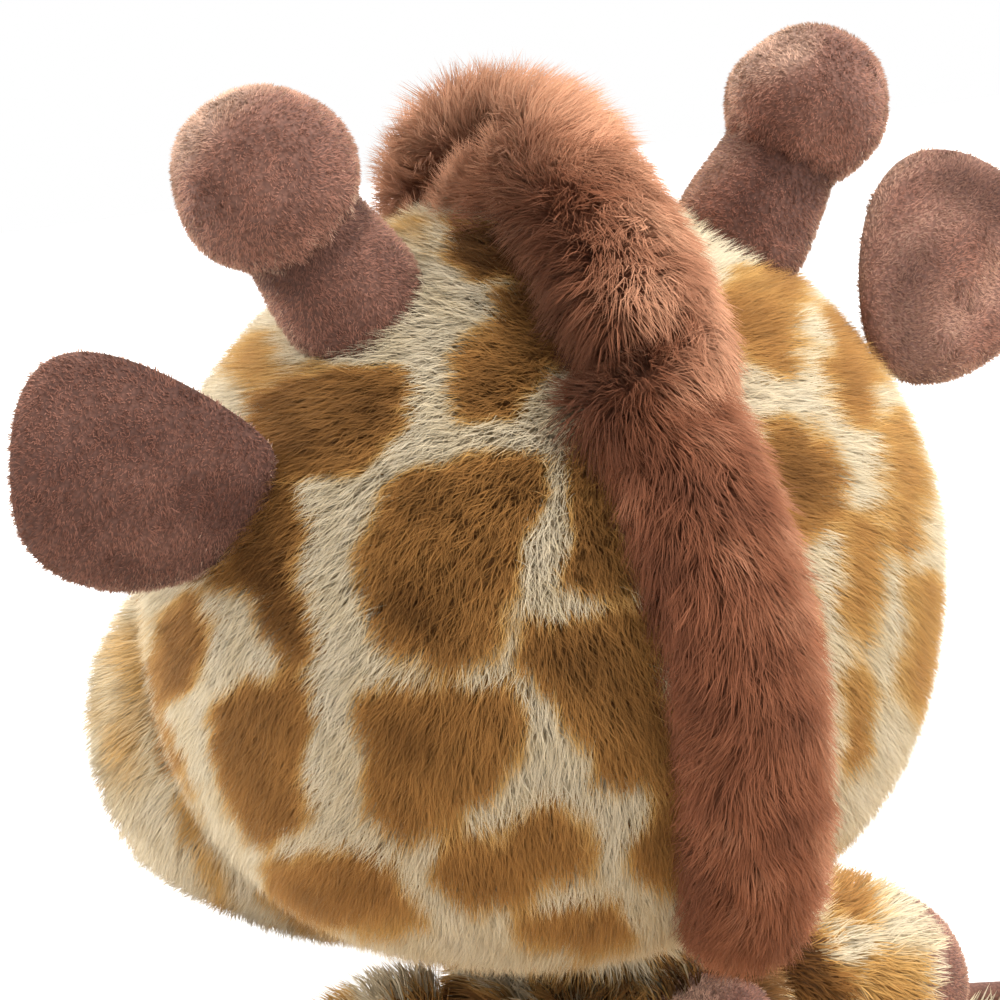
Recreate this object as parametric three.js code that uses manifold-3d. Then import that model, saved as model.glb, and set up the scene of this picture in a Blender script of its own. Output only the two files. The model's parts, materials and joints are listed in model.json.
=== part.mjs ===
// Giraffe comfort blanket: a stuffed giraffe head on a short stuffed neck, sewn to the front of a soft
// two-sided blanket, with a stuffed arm at each side. Millimetres, +Z up, the face looks along -Y.
// The origin is the middle of the blanket's underside, on the surface that it lies on.
import * as THREE from "three";
import { mergeVertices } from "three/addons/utils/BufferGeometryUtils.js";
import Module from "manifold-3d";

const wasm = await Module();
wasm.setup();

// Fabrics and clearances
const GAP = 0.35; // between pieces that are sewn or pressed against each other
const SEAM = 0.5; // between two panels of one cover
const PLUSH = 4; // spotted plush, backing and pile as pressed
const VELOUR = 2.2; // short-pile velour, one layer
const SIDES = { left: 1, right: -1 }; // the giraffe's own left is +X

// Blanket
const BLANKET_WIDTH = 250;
const BLANKET_LENGTH = 250;
const BLANKET_CORNER = 85;
const LINING_THICKNESS = 1.2;
const BLANKET_PLUSH = 2.2;
const PIPING_RADIUS = 2.2;
const RIPPLE_HEIGHT = 8;
const RIPPLE_COUNT = 7;
const RIPPLE_FLAT = 62; // no ripples nearer the middle than this
const RIPPLE_REACH = 68; // distance over which the ripples grow to full height

// Neck
const NECK_SETBACK = 29; // from the blanket's front edge to the neck's axis
const NECK_BASE_RADIUS = 24.5;
const NECK_BELLY_RADIUS = 26.5;
const NECK_BELLY_HEIGHT = 12;
const NECK_TOP_RADIUS = 21.5;
const NECK_HEIGHT = 38.5;
const STRIPE_WIDTH = 27; // velour stripe that carries the mane on down the neck
const STRIPE_MIDDLE = -5; // sewn a little to the giraffe's right, as the mane's end is
const PLUG_BALL_RADIUS = 17;
const PLUG_SHAFT_RADIUS = 12;
const PLUG_FOOT_DEPTH = 9; // how far the plug's shaft goes down into the neck
const NOD_ROOM = 4.8; // between the neck's top and the head's underside
const PLUG_DEPTH = 6.5; // the plug ball's centre above the head's underside

// Head
const HEAD_WIDTH = 103;
const HEAD_DEPTH = 92;
const CROWN_HEIGHT = 48;
const JAW_HEIGHT = 47;
const CROWN_ROUNDNESS = 1.12; // 1 is an ellipsoid, less is squarer
const JAW_ROUNDNESS = 0.72;
const HEAD_FORWARD = 14; // the head's middle in front of the neck's axis
const PLUG_FORWARD = 6; // the plug's axis in front of the neck's axis

// Muzzle
const MUZZLE_WIDTH = 98;
const MUZZLE_DEPTH = 76;
const MUZZLE_HEIGHT = 72;
const MUZZLE_FORWARD = 45; // from the head's middle
const MUZZLE_DROP = 36;
const NOSTRIL_SIZE = [4.2, 2.4, 3]; // half sizes
const NOSTRIL_SPREAD = 19; // degrees each side of the middle
const NOSTRIL_RISE = 27;
const MOUTH_SPREAD = 34;
const MOUTH_DROP = 24;
const MOUTH_SMILE = 13;
const MOUTH_THREAD = 1.1;

// Eyes
const EYE_SIZE = [5.2, 3, 6.4];
const EYE_SPREAD = 25;
const EYE_RISE = 14;

// Mane, by angle from the crown: negative in front, positive down the back
const MANE_HALF_WIDTH = 8.8;
const CROWN_LOBE_HALF_WIDTH = 10.2;
const FORELOCK_HALF_WIDTH = 11;
const MANE_NAPE_HEIGHT = 8;
const MANE_CROWN_HEIGHT = 11;
const MANE_FORELOCK_HEIGHT = 12.5;
const MANE_STRAY = 2.8; // how far to the left the mane is sewn where the crown and nape lobes meet
const MANE_END_STRAY = -5.5;
const MANE_NAPE_STRAY = [MANE_STRAY, MANE_END_STRAY];
const MANE_LOBES = {
  mane_nape: { from: 40, to: 136, half: MANE_HALF_WIDTH, height: MANE_NAPE_HEIGHT, stray: MANE_NAPE_STRAY },
  mane_crown: { from: 6, to: 54, half: CROWN_LOBE_HALF_WIDTH, height: MANE_CROWN_HEIGHT, stray: [0, MANE_STRAY] },
  mane_forelock: { from: -34, to: 20, half: FORELOCK_HALF_WIDTH, height: MANE_FORELOCK_HEIGHT, stray: [0, 0] },
};

// Ossicones
const OSSICONE_BASE_RADIUS = 9.2;
const OSSICONE_TOP_RADIUS = 7.6;
const OSSICONE_KNOB_RADIUS = 10.2;
const OSSICONE_LENGTH = 13.9; // from the stem's pivot to the knob's middle
const OSSICONE_AROUND = 14; // degrees behind the giraffe's side
const OSSICONE_UP = 56.6;
const OSSICONE_SPLAY = 32;
const OSSICONE_LEAN_BACK = 3;
const STAND_OUT = 0.4; // a pivot's height above its seat, as a share of its own radius

// Ears
const EAR_LENGTH = 29;
const EAR_WIDTH = 27; // at the middle of its length
const EAR_TAPER = 0.4; // how much narrower the ear is at its seam than at its tip
const EAR_BASE_WIDTH = 8;
const EAR_BEAD_RADIUS = 3;
const EAR_CUP = 4.5;
const EAR_SWING_ROOM = 2.7; // between the ear's edges and the head
const EAR_AROUND = 20.5;
const EAR_UP = { left: 34, right: 34 };
const EAR_LIFT = { left: -2, right: 20 };

// Arms
const SHOULDER_HEIGHT = 29; // above the blanket
const SHOULDER_RADIUS = 12.5;
const SHOULDER_FORWARD = 6; // in front of the neck's axis
const ARM_MIDDLE_RADIUS = 12.8;
const ARM_REACH = 21; // sideways from the shoulder to the hoof's middle
const ARM_FORWARD = 5;
const SHOULDER_SLOPE = 25; // degrees below level where the arm leaves the shoulder
const ARM_COVER = 2.6;
const HOOF_RADIUS = 13.6;
const HOOF_LENGTH = 17;
const HOOF_SEAM = 6.8; // from the hoof's middle back to its seam with the sleeve

// Places that follow from the sizes above
const BLANKET_TOP_Z = LINING_THICKNESS + GAP + BLANKET_PLUSH;
const NECK_Y = -BLANKET_LENGTH / 2 + NECK_SETBACK;
const NECK_BASE_Z = BLANKET_TOP_Z + GAP;
const NECK_TOP_Z = NECK_BASE_Z + NECK_HEIGHT;
const HEAD_BOTTOM_Z = NECK_TOP_Z + NOD_ROOM;
const HEAD_CENTRE = new THREE.Vector3(0, NECK_Y - HEAD_FORWARD, HEAD_BOTTOM_Z + JAW_HEIGHT);
const PLUG_CENTRE = new THREE.Vector3(0, NECK_Y - PLUG_FORWARD, HEAD_BOTTOM_Z + PLUG_DEPTH);
const MUZZLE_CENTRE = HEAD_CENTRE.clone().add(new THREE.Vector3(0, -MUZZLE_FORWARD, -MUZZLE_DROP));

const rad = THREE.MathUtils.degToRad;
const BIG = 1000; // reaches past the whole object

// Fabrics
const fabric = (color, roughness) => new THREE.MeshStandardMaterial({ color, roughness, metalness: 0 });
const spottedPlush = fabric(0xa97f4b, 0.95);
const maneFur = fabric(0x935f4c, 0.95);
const brownVelour = fabric(0x7c5348, 0.9);
const fibreFill = fabric(0xf1efe9, 1);
const darkThread = fabric(0x2b211d, 0.6);

// A closed surface from rings of points between two end points. point(i, j) is the j-th point of ring i.
function ringSurface(rings, around, point, start, end) {
  const places = [];
  const faces = [];
  for (let i = 0; i < rings; i++) for (let j = 0; j < around; j++) places.push(...point(i, j).toArray());
  const at = (i, j) => i * around + (j % around);
  for (let i = 0; i + 1 < rings; i++) {
    for (let j = 0; j < around; j++) {
      faces.push(at(i, j), at(i, j + 1), at(i + 1, j + 1), at(i, j), at(i + 1, j + 1), at(i + 1, j));
    }
  }
  const first = places.length / 3;
  places.push(...start.toArray(), ...end.toArray());
  for (let j = 0; j < around; j++) {
    faces.push(first, at(0, j + 1), at(0, j));
    faces.push(first + 1, at(rings - 1, j), at(rings - 1, j + 1));
  }
  return surface(places, faces);
}

// A thin layer: rings of points about a middle, on a low and a high face that are divided alike.
// point(ring, turn, height) gives each place, from ring 0 at the middle to the outer ring.
function slab(rings, around, point, low, high) {
  const places = [];
  const faces = [];
  const size = 1 + rings * around;
  for (const height of [low, high]) {
    places.push(...point(0, 0, height).toArray());
    for (let i = 1; i <= rings; i++) for (let j = 0; j < around; j++) places.push(...point(i, j, height).toArray());
  }
  const at = (i, j) => (i === 0 ? 0 : 1 + (i - 1) * around + (j % around));
  const both = (a, b, c) => faces.push(a, c, b, a + size, b + size, c + size);
  for (let j = 0; j < around; j++) {
    both(0, at(1, j), at(1, j + 1));
    for (let i = 1; i < rings; i++) {
      both(at(i, j), at(i + 1, j), at(i + 1, j + 1));
      both(at(i, j), at(i + 1, j + 1), at(i, j + 1));
    }
    const a = at(rings, j);
    const b = at(rings, j + 1);
    faces.push(a, b, b + size, a, b + size, a + size);
  }
  return solid(surface(places, faces));
}

function surface(places, faces) {
  const geometry = new THREE.BufferGeometry();
  geometry.setAttribute("position", new THREE.Float32BufferAttribute(places, 3));
  geometry.setIndex(faces);
  return geometry;
}

// A geometry as a solid for joining and cutting, moved by a matrix. Faces are turned to point out.
function solid(geometry, matrix = new THREE.Matrix4()) {
  const bare = new THREE.BufferGeometry();
  bare.setAttribute("position", geometry.getAttribute("position").clone());
  bare.setIndex(geometry.index);
  const merged = mergeVertices(bare.applyMatrix4(matrix), 1e-4);
  const triVerts = new Uint32Array(merged.index.array);
  const make = () =>
    new wasm.Manifold(
      new wasm.Mesh({ numProp: 3, vertProperties: new Float32Array(merged.attributes.position.array), triVerts }),
    );
  const made = make();
  if (made.volume() > 0) return made;
  for (let i = 0; i < triVerts.length; i += 3) {
    [triVerts[i + 1], triVerts[i + 2]] = [triVerts[i + 2], triVerts[i + 1]];
  }
  return make();
}

function geometryOf(made) {
  const mesh = made.getMesh();
  const places = [];
  for (let i = 0; i < mesh.numVert; i++) {
    for (let k = 0; k < 3; k++) places.push(mesh.vertProperties[i * mesh.numProp + k]);
  }
  return surface(places, Array.from(mesh.triVerts));
}

const box = (x0, x1, y0, y1, z0, z1) =>
  solid(
    new THREE.BoxGeometry(x1 - x0, y1 - y0, z1 - z0),
    new THREE.Matrix4().makeTranslation((x0 + x1) / 2, (y0 + y1) / 2, (z0 + z1) / 2),
  );
const ball = (radius, matrix) => solid(new THREE.SphereGeometry(radius, 16, 10), matrix);
const dish = (radius, matrix) => solid(new THREE.SphereGeometry(radius + GAP, 20, 14), matrix);
const moveTo = (v) => new THREE.Matrix4().makeTranslation(v.x, v.y, v.z);

const part = new THREE.Group();
function add(name, made, material) {
  const mesh = new THREE.Mesh(geometryOf(made), material);
  mesh.name = name;
  part.add(mesh);
}

// Head: rounder at the crown, squarer at the jaw
function headPoint(lon, lat, inset = 0) {
  const upper = lat >= 0;
  const roundness = upper ? CROWN_ROUNDNESS : JAW_ROUNDNESS;
  const height = (upper ? CROWN_HEIGHT : JAW_HEIGHT) - inset;
  const spread = Math.cos(lat) ** roundness;
  return new THREE.Vector3(
    (HEAD_WIDTH / 2 - inset) * spread * Math.cos(lon),
    (HEAD_DEPTH / 2 - inset) * spread * Math.sin(lon),
    Math.sign(lat) * height * Math.abs(Math.sin(lat)) ** roundness,
  ).add(HEAD_CENTRE);
}

// A closed form from its point at each longitude and latitude
function globe(point, around, down) {
  const lat = (i) => -Math.PI / 2 + ((i + 1) * Math.PI) / (down + 1);
  return solid(
    ringSurface(
      down,
      around,
      (i, j) => point((j * 2 * Math.PI) / around, lat(i)),
      point(0, -Math.PI / 2),
      point(0, Math.PI / 2),
    ),
  );
}
const headForm = (inset) => globe((lon, lat) => headPoint(lon, lat, inset), 26, 15);

// Muzzle: a plain oval swelling, cut by the head
function muzzlePoint(lon, lat, inset = 0) {
  return new THREE.Vector3(
    (MUZZLE_WIDTH / 2 - inset) * Math.cos(lat) * Math.cos(lon),
    (MUZZLE_DEPTH / 2 - inset) * Math.cos(lat) * Math.sin(lon),
    (MUZZLE_HEIGHT / 2 - inset) * Math.sin(lat),
  ).add(MUZZLE_CENTRE);
}
const muzzleForm = (inset) => globe((lon, lat) => muzzlePoint(lon, lat, inset), 22, 11);

// The direction that a form faces at a place on it
function outward(point, lon, lat) {
  const step = 1e-3;
  const along = point(lon + step, lat).sub(point(lon - step, lat));
  const up = point(lon, lat + step).sub(point(lon, lat - step));
  return along.cross(up).normalize();
}

// A frame from its X and Z directions, mirrored for the giraffe's right
function frameAt(origin, x, z, side) {
  const y = new THREE.Vector3().crossVectors(z, x);
  const made = new THREE.Matrix4().makeBasis(x, y, z).setPosition(origin);
  return new THREE.Matrix4().makeScale(side, 1, 1).multiply(made);
}

// Ossicones: a stem whose round foot sits in a dish in the head, and a knob gathered on top of it
function ossiconeFrame(side) {
  const lon = rad(OSSICONE_AROUND);
  const lat = rad(OSSICONE_UP);
  const axis = new THREE.Vector3(Math.tan(rad(OSSICONE_SPLAY)), Math.tan(rad(OSSICONE_LEAN_BACK)), 1).normalize();
  const pivot = headPoint(lon, lat).addScaledVector(axis, OSSICONE_BASE_RADIUS * STAND_OUT);
  const x = new THREE.Vector3(axis.z, 0, -axis.x).normalize();
  return frameAt(pivot, x, axis, side);
}

function ossiconeStem() {
  const foot = new THREE.Path().absarc(0, 0, OSSICONE_BASE_RADIUS, -Math.PI / 2, 0).getPoints(3);
  const reach = OSSICONE_KNOB_RADIUS + GAP;
  const rim = -Math.acos(OSSICONE_TOP_RADIUS / reach);
  const cup = new THREE.Path().absarc(0, OSSICONE_LENGTH, reach, rim, -Math.PI / 2, true).getPoints(2);
  const profile = [...foot, ...cup];
  profile[0].x = 0;
  profile[profile.length - 1].x = 0;
  return new THREE.LatheGeometry(profile, 14).rotateX(Math.PI / 2);
}

// Ears: two velour layers, cupped, on a rolled bead along the seam where the ear folds
function earFrame(name) {
  const side = SIDES[name];
  const lift = rad(EAR_LIFT[name]);
  const out = new THREE.Vector3(Math.cos(lift), 0, Math.sin(lift));
  const front = new THREE.Vector3(0, -1, 0);
  return frameAt(headPoint(rad(EAR_AROUND), rad(EAR_UP[name])), out, front, side);
}

// One layer of an ear between two offsets from its middle surface. X runs to the tip and Y along the seam.
function earLayer(low, high, start) {
  const rings = 3;
  const around = 20;
  const middle = EAR_LENGTH * 0.5;
  const point = (ring, turn, offset) => {
    const angle = (turn * 2 * Math.PI) / around;
    const share = ring / rings;
    const x = middle + share * middle * Math.cos(angle);
    const y = share * (EAR_WIDTH / 2) * Math.sin(angle) * (1 + EAR_TAPER * Math.cos(angle));
    return new THREE.Vector3(x, y, offset + EAR_CUP * ((2 * y) / EAR_WIDTH) ** 2 - EAR_CUP * 0.25);
  };
  return slab(rings, around, point, low, high).subtract(box(-BIG, start, -BIG, BIG, -BIG, BIG));
}

function earBead(grow) {
  const radius = EAR_BEAD_RADIUS + grow;
  return new THREE.CylinderGeometry(radius, radius, EAR_BASE_WIDTH + 2 * grow, 16);
}

// A tube of changing radius along a curve, from share a to share b of its length, closed at both ends
function limb(curve, radius, a, b, rings, around) {
  const frames = curve.computeFrenetFrames(rings - 1);
  const share = (i) => Math.min(1, a + ((b - a) * i) / (rings - 1));
  const side = frames.binormals[0];
  const point = (i, j) => {
    const u = share(i);
    const ahead = curve.getTangentAt(u);
    const second = new THREE.Vector3().crossVectors(ahead, side).normalize();
    const angle = (j * 2 * Math.PI) / around;
    const r = radius(u);
    return curve
      .getPointAt(u)
      .addScaledVector(side, r * Math.cos(angle))
      .addScaledVector(second, r * Math.sin(angle));
  };
  return solid(ringSurface(rings, around, point, curve.getPointAt(a), curve.getPointAt(b)));
}

// Neck: turned about its own axis, rounded in to the top
function neckForm(inset, lift) {
  const side = new THREE.SplineCurve([
    new THREE.Vector2(NECK_BASE_RADIUS - inset, NECK_BASE_Z + lift),
    new THREE.Vector2(NECK_BELLY_RADIUS - inset, NECK_BASE_Z + NECK_BELLY_HEIGHT),
    new THREE.Vector2((NECK_BELLY_RADIUS + NECK_TOP_RADIUS) / 2 - inset, NECK_TOP_Z - 10),
    new THREE.Vector2(NECK_TOP_RADIUS - inset, NECK_TOP_Z - 2 - lift),
  ]).getPoints(6);
  const top = new THREE.Vector2(0, NECK_TOP_Z - lift);
  const shoulder = new THREE.Vector2(NECK_TOP_RADIUS * 0.75 - inset / 2, NECK_TOP_Z - lift);
  const profile = [new THREE.Vector2(0, NECK_BASE_Z + lift), ...side, shoulder, top];
  const upright = new THREE.Matrix4().makeTranslation(0, NECK_Y, 0);
  upright.multiply(new THREE.Matrix4().makeRotationX(Math.PI / 2));
  return solid(new THREE.LatheGeometry(profile, 22), upright);
}

// Where the neck's side is, at a height
function neckRadiusAt(z) {
  const rise = (z - NECK_BASE_Z - NECK_BELLY_HEIGHT) / (NECK_HEIGHT - NECK_BELLY_HEIGHT);
  return THREE.MathUtils.lerp(NECK_BELLY_RADIUS, NECK_TOP_RADIUS, Math.max(0, rise) ** 1.3);
}

// Plug: the packed neck of fibre that passes through the neck opening and lets the head turn and nod
function plugForm(grow) {
  const shaft = PLUG_SHAFT_RADIUS + grow;
  const radius = PLUG_BALL_RADIUS + grow;
  const foot = NECK_TOP_Z - PLUG_CENTRE.z - PLUG_FOOT_DEPTH - grow;
  const from = -Math.acos(shaft / radius);
  const arc = new THREE.Path().absarc(0, 0, radius, from, Math.PI / 2).getPoints(5);
  arc[arc.length - 1].x = 0;
  const profile = [new THREE.Vector2(0, foot), new THREE.Vector2(shaft, foot), ...arc];
  const upright = moveTo(PLUG_CENTRE).multiply(new THREE.Matrix4().makeRotationX(Math.PI / 2));
  return solid(new THREE.LatheGeometry(profile, 18), upright);
}

// Arms: from a round shoulder in a dish in the neck, out and down to a hoof that rests on the blanket
const SHOULDER_Z = BLANKET_TOP_Z + SHOULDER_HEIGHT;
const SHOULDER_X = neckRadiusAt(SHOULDER_Z) + SHOULDER_RADIUS * STAND_OUT;
const armFrame = (side) =>
  frameAt(
    new THREE.Vector3(SHOULDER_X, NECK_Y - SHOULDER_FORWARD, SHOULDER_Z),
    new THREE.Vector3(1, 0, 0),
    new THREE.Vector3(0, 0, 1),
    side,
  );
const HOOF_DROP = SHOULDER_HEIGHT - HOOF_RADIUS - GAP;
const armSlope = new THREE.Vector3(Math.cos(rad(SHOULDER_SLOPE)), 0, -Math.sin(rad(SHOULDER_SLOPE)));
const armCurve = new THREE.CurvePath();
armCurve.add(new THREE.LineCurve3(armSlope.clone().multiplyScalar(-SHOULDER_RADIUS), new THREE.Vector3()));
armCurve.add(
  new THREE.CubicBezierCurve3(
    new THREE.Vector3(),
    armSlope.clone().multiplyScalar(SHOULDER_RADIUS),
    new THREE.Vector3(ARM_REACH * 0.85, -ARM_FORWARD * 0.6, -HOOF_DROP * 0.6),
    new THREE.Vector3(ARM_REACH, -ARM_FORWARD, -HOOF_DROP),
  ),
);
const ARM_LENGTH = armCurve.getLength();

function armRadius(inset) {
  return (u) => {
    const s = u * ARM_LENGTH;
    const round = (SHOULDER_RADIUS - inset) ** 2 - (SHOULDER_RADIUS - s) ** 2;
    if (s < SHOULDER_RADIUS) return Math.sqrt(Math.max(round, 0.1));
    const swell = Math.sin((Math.PI * (s - SHOULDER_RADIUS)) / (ARM_LENGTH - SHOULDER_RADIUS));
    return SHOULDER_RADIUS + (ARM_MIDDLE_RADIUS - SHOULDER_RADIUS) * swell - inset;
  };
}

// All that lies beyond a place along the arm
function pastArm(distance) {
  const u = distance / ARM_LENGTH;
  const turn = new THREE.Quaternion().setFromUnitVectors(new THREE.Vector3(0, 0, 1), armCurve.getTangentAt(u));
  const at = new THREE.Matrix4().makeRotationFromQuaternion(turn).setPosition(armCurve.getPointAt(u));
  const whole = new THREE.BoxGeometry(BIG, BIG, BIG).translate(0, 0, BIG / 2);
  return solid(whole, at);
}

// Hoof: a soft cap about the arm's end, a little wider than the arm, cut flat at the seam
function hoofForm() {
  const half = HOOF_LENGTH - HOOF_SEAM;
  const profile = [];
  for (let i = 0; i <= 8; i++) {
    const angle = -Math.PI / 2 + (i * Math.PI) / 8;
    const x = i === 0 || i === 8 ? 0 : HOOF_RADIUS * Math.cos(angle) ** 0.7;
    profile.push(new THREE.Vector2(x, half * Math.sign(angle) * Math.abs(Math.sin(angle)) ** 0.8));
  }
  const turn = new THREE.Quaternion().setFromUnitVectors(new THREE.Vector3(0, 1, 0), armCurve.getTangentAt(1));
  const at = new THREE.Matrix4().makeRotationFromQuaternion(turn).setPosition(armCurve.getPointAt(1));
  return solid(new THREE.LatheGeometry(profile, 16), at).intersect(pastArm(ARM_LENGTH - HOOF_SEAM));
}

// Blanket: a square with wide round corners, flat in the middle and rippled towards its edge
function blanketEdge(angle, inset) {
  const half = new THREE.Vector2(BLANKET_WIDTH / 2 - inset, BLANKET_LENGTH / 2 - inset);
  const corner = BLANKET_CORNER - inset;
  const ray = new THREE.Vector2(Math.cos(angle), Math.sin(angle));
  const c = new THREE.Vector2(half.x - corner, half.y - corner);
  const straight = Math.min(half.x / Math.max(Math.abs(ray.x), 1e-9), half.y / Math.max(Math.abs(ray.y), 1e-9));
  const p = ray.clone().multiplyScalar(straight);
  if (Math.abs(p.x) <= c.x || Math.abs(p.y) <= c.y) return straight;
  const q = Math.abs(ray.x) * c.x + Math.abs(ray.y) * c.y;
  return q + Math.sqrt(q * q - c.lengthSq() + corner * corner);
}

function ripple(x, y) {
  const far = Math.hypot(x, y);
  const grown = THREE.MathUtils.smoothstep(far, RIPPLE_FLAT, RIPPLE_FLAT + RIPPLE_REACH);
  const behind = THREE.MathUtils.smoothstep(y, NECK_Y + 2 * NECK_BELLY_RADIUS, BLANKET_LENGTH / 4);
  const wave = 0.5 - 0.5 * Math.cos(RIPPLE_COUNT * Math.atan2(y, x) + Math.PI / 2);
  return RIPPLE_HEIGHT * grown * behind * wave;
}

function blanketLayer(low, high, inset) {
  const rings = 6;
  const around = 36;
  const point = (ring, turn, z) => {
    const angle = (turn * 2 * Math.PI) / around;
    const reach = blanketEdge(angle, inset) * Math.sqrt(ring / rings);
    const x = reach * Math.cos(angle);
    const y = reach * Math.sin(angle);
    return new THREE.Vector3(x, y, z + ripple(x, y));
  };
  return slab(rings, around, point, low, high);
}

// Piping: a velour cord all round the edge, closed on itself
function pipingForm() {
  const steps = 48;
  const around = 6;
  const places = [];
  const faces = [];
  for (let i = 0; i < steps; i++) {
    const angle = (i * 2 * Math.PI) / steps;
    const reach = blanketEdge(angle, PIPING_RADIUS);
    const out = new THREE.Vector3(Math.cos(angle), Math.sin(angle), 0);
    const centre = out.clone().multiplyScalar(reach);
    centre.z = PIPING_RADIUS + ripple(centre.x, centre.y);
    for (let j = 0; j < around; j++) {
      const turn = ((j + 0.5) * 2 * Math.PI) / around;
      const p = centre.clone().addScaledVector(out, PIPING_RADIUS * Math.cos(turn));
      p.z += PIPING_RADIUS * Math.sin(turn);
      places.push(...p.toArray());
      const at = (a, b) => (a % steps) * around + (b % around);
      faces.push(at(i, j), at(i + 1, j), at(i + 1, j + 1), at(i, j), at(i + 1, j + 1), at(i, j + 1));
    }
  }
  return solid(surface(places, faces));
}

// Mane: a swelling of long pile along the middle of the head, from one angle to another
function maneForm(lobe, grow) {
  const rings = 9;
  const around = 11;
  const across = new THREE.Vector3(1, 0, 0);
  const profile = (angle) => headPoint(Math.PI / 2, Math.PI / 2 - angle);
  const middle = (share) => {
    const angle = rad(THREE.MathUtils.lerp(lobe.from, lobe.to, share));
    const place = angle >= 0 ? profile(angle) : headPoint(-Math.PI / 2, Math.PI / 2 + angle);
    return place.addScaledVector(across, THREE.MathUtils.lerp(...lobe.stray, share));
  };
  const up = (share) => {
    const ahead = middle(Math.min(share + 0.01, 1)).sub(middle(Math.max(share - 0.01, 0)));
    return new THREE.Vector3(1, 0, 0).cross(ahead).normalize();
  };
  const point = (i, j) => {
    const share = (i + 1) / (rings + 1);
    const fullness = Math.sin(Math.PI * share) ** 0.45;
    const angle = (j * 2 * Math.PI) / around;
    return middle(share)
      .addScaledVector(across, (lobe.half * fullness + grow) * Math.cos(angle))
      .addScaledVector(up(share), (lobe.height * fullness + grow) * Math.sin(angle));
  };
  return solid(ringSurface(rings, around, point, middle(0), middle(1)));
}

// Embroidered patch: an oval dome of thread on a form
function patch(size, point, lon, lat) {
  const z = outward(point, lon, lat);
  const x = new THREE.Vector3(0, 0, 1).cross(z).normalize();
  const frame = frameAt(point(lon, lat), x, z, 1);
  frame.multiply(new THREE.Matrix4().makeScale(size[0], size[2], size[1]));
  return solid(new THREE.SphereGeometry(1, 12, 7), frame);
}

function mouthForm() {
  const points = [];
  const steps = 10;
  for (let i = 0; i <= steps; i++) {
    const t = (2 * i) / steps - 1;
    const lon = -Math.PI / 2 + rad(MOUTH_SPREAD) * t;
    const lat = rad(-MOUTH_DROP + MOUTH_SMILE * t * t);
    points.push(muzzlePoint(lon, lat, -MOUTH_THREAD - GAP));
  }
  return limb(new THREE.CatmullRomCurve3(points), () => MOUTH_THREAD, 0, 1, 12, 6);
}

// Head cover in two panels, with the places that the other pieces seat in
const headOuter = headForm(-GAP);
const pockets = [plugForm(GAP)];
for (const [name, side] of Object.entries(SIDES)) {
  pockets.push(dish(OSSICONE_BASE_RADIUS, ossiconeFrame(side)));
  pockets.push(solid(earBead(GAP), earFrame(name)));
}
const cutAll = (made, cutters) => cutters.reduce((left, cutter) => left.subtract(cutter), made);
const headShell = cutAll(headForm(0).subtract(headForm(PLUSH)), pockets);
for (const [name, side] of Object.entries(SIDES)) {
  const [x0, x1] = side > 0 ? [SEAM / 2, BIG] : [-BIG, -SEAM / 2];
  add(`head_${name}_panel`, headShell.intersect(box(x0, x1, -BIG, BIG, -BIG, BIG)), spottedPlush);
}
add("head_stuffing", cutAll(headForm(PLUSH + GAP), pockets), fibreFill);

// Muzzle, cut by the head
const muzzleCover = muzzleForm(0).subtract(muzzleForm(PLUSH)).subtract(headOuter);
add("muzzle_cover", muzzleCover, spottedPlush);
add("muzzle_stuffing", muzzleForm(PLUSH + GAP).subtract(headOuter), fibreFill);
const muzzleOuter = muzzleForm(-GAP);
for (const [name, side] of Object.entries(SIDES)) {
  const eyeLon = -Math.PI / 2 + side * rad(EYE_SPREAD);
  const eye = patch(EYE_SIZE, headPoint, eyeLon, rad(EYE_RISE));
  add(`${name}_eye`, eye.subtract(headOuter), darkThread);
  const nostrilLon = -Math.PI / 2 + side * rad(NOSTRIL_SPREAD);
  const nostril = patch(NOSTRIL_SIZE, muzzlePoint, nostrilLon, rad(NOSTRIL_RISE));
  add(`${name}_nostril`, nostril.subtract(muzzleOuter), darkThread);
}
add("mouth_stitch", mouthForm(), darkThread);

// Mane lobes, each cut by the head and by the lobe below it
let below = null;
for (const [name, lobe] of Object.entries(MANE_LOBES)) {
  let made = maneForm(lobe, 0).subtract(headOuter);
  if (below) made = made.subtract(below);
  below = below ? below.add(maneForm(lobe, GAP)) : maneForm(lobe, GAP);
  add(name, made, maneFur);
}

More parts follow.
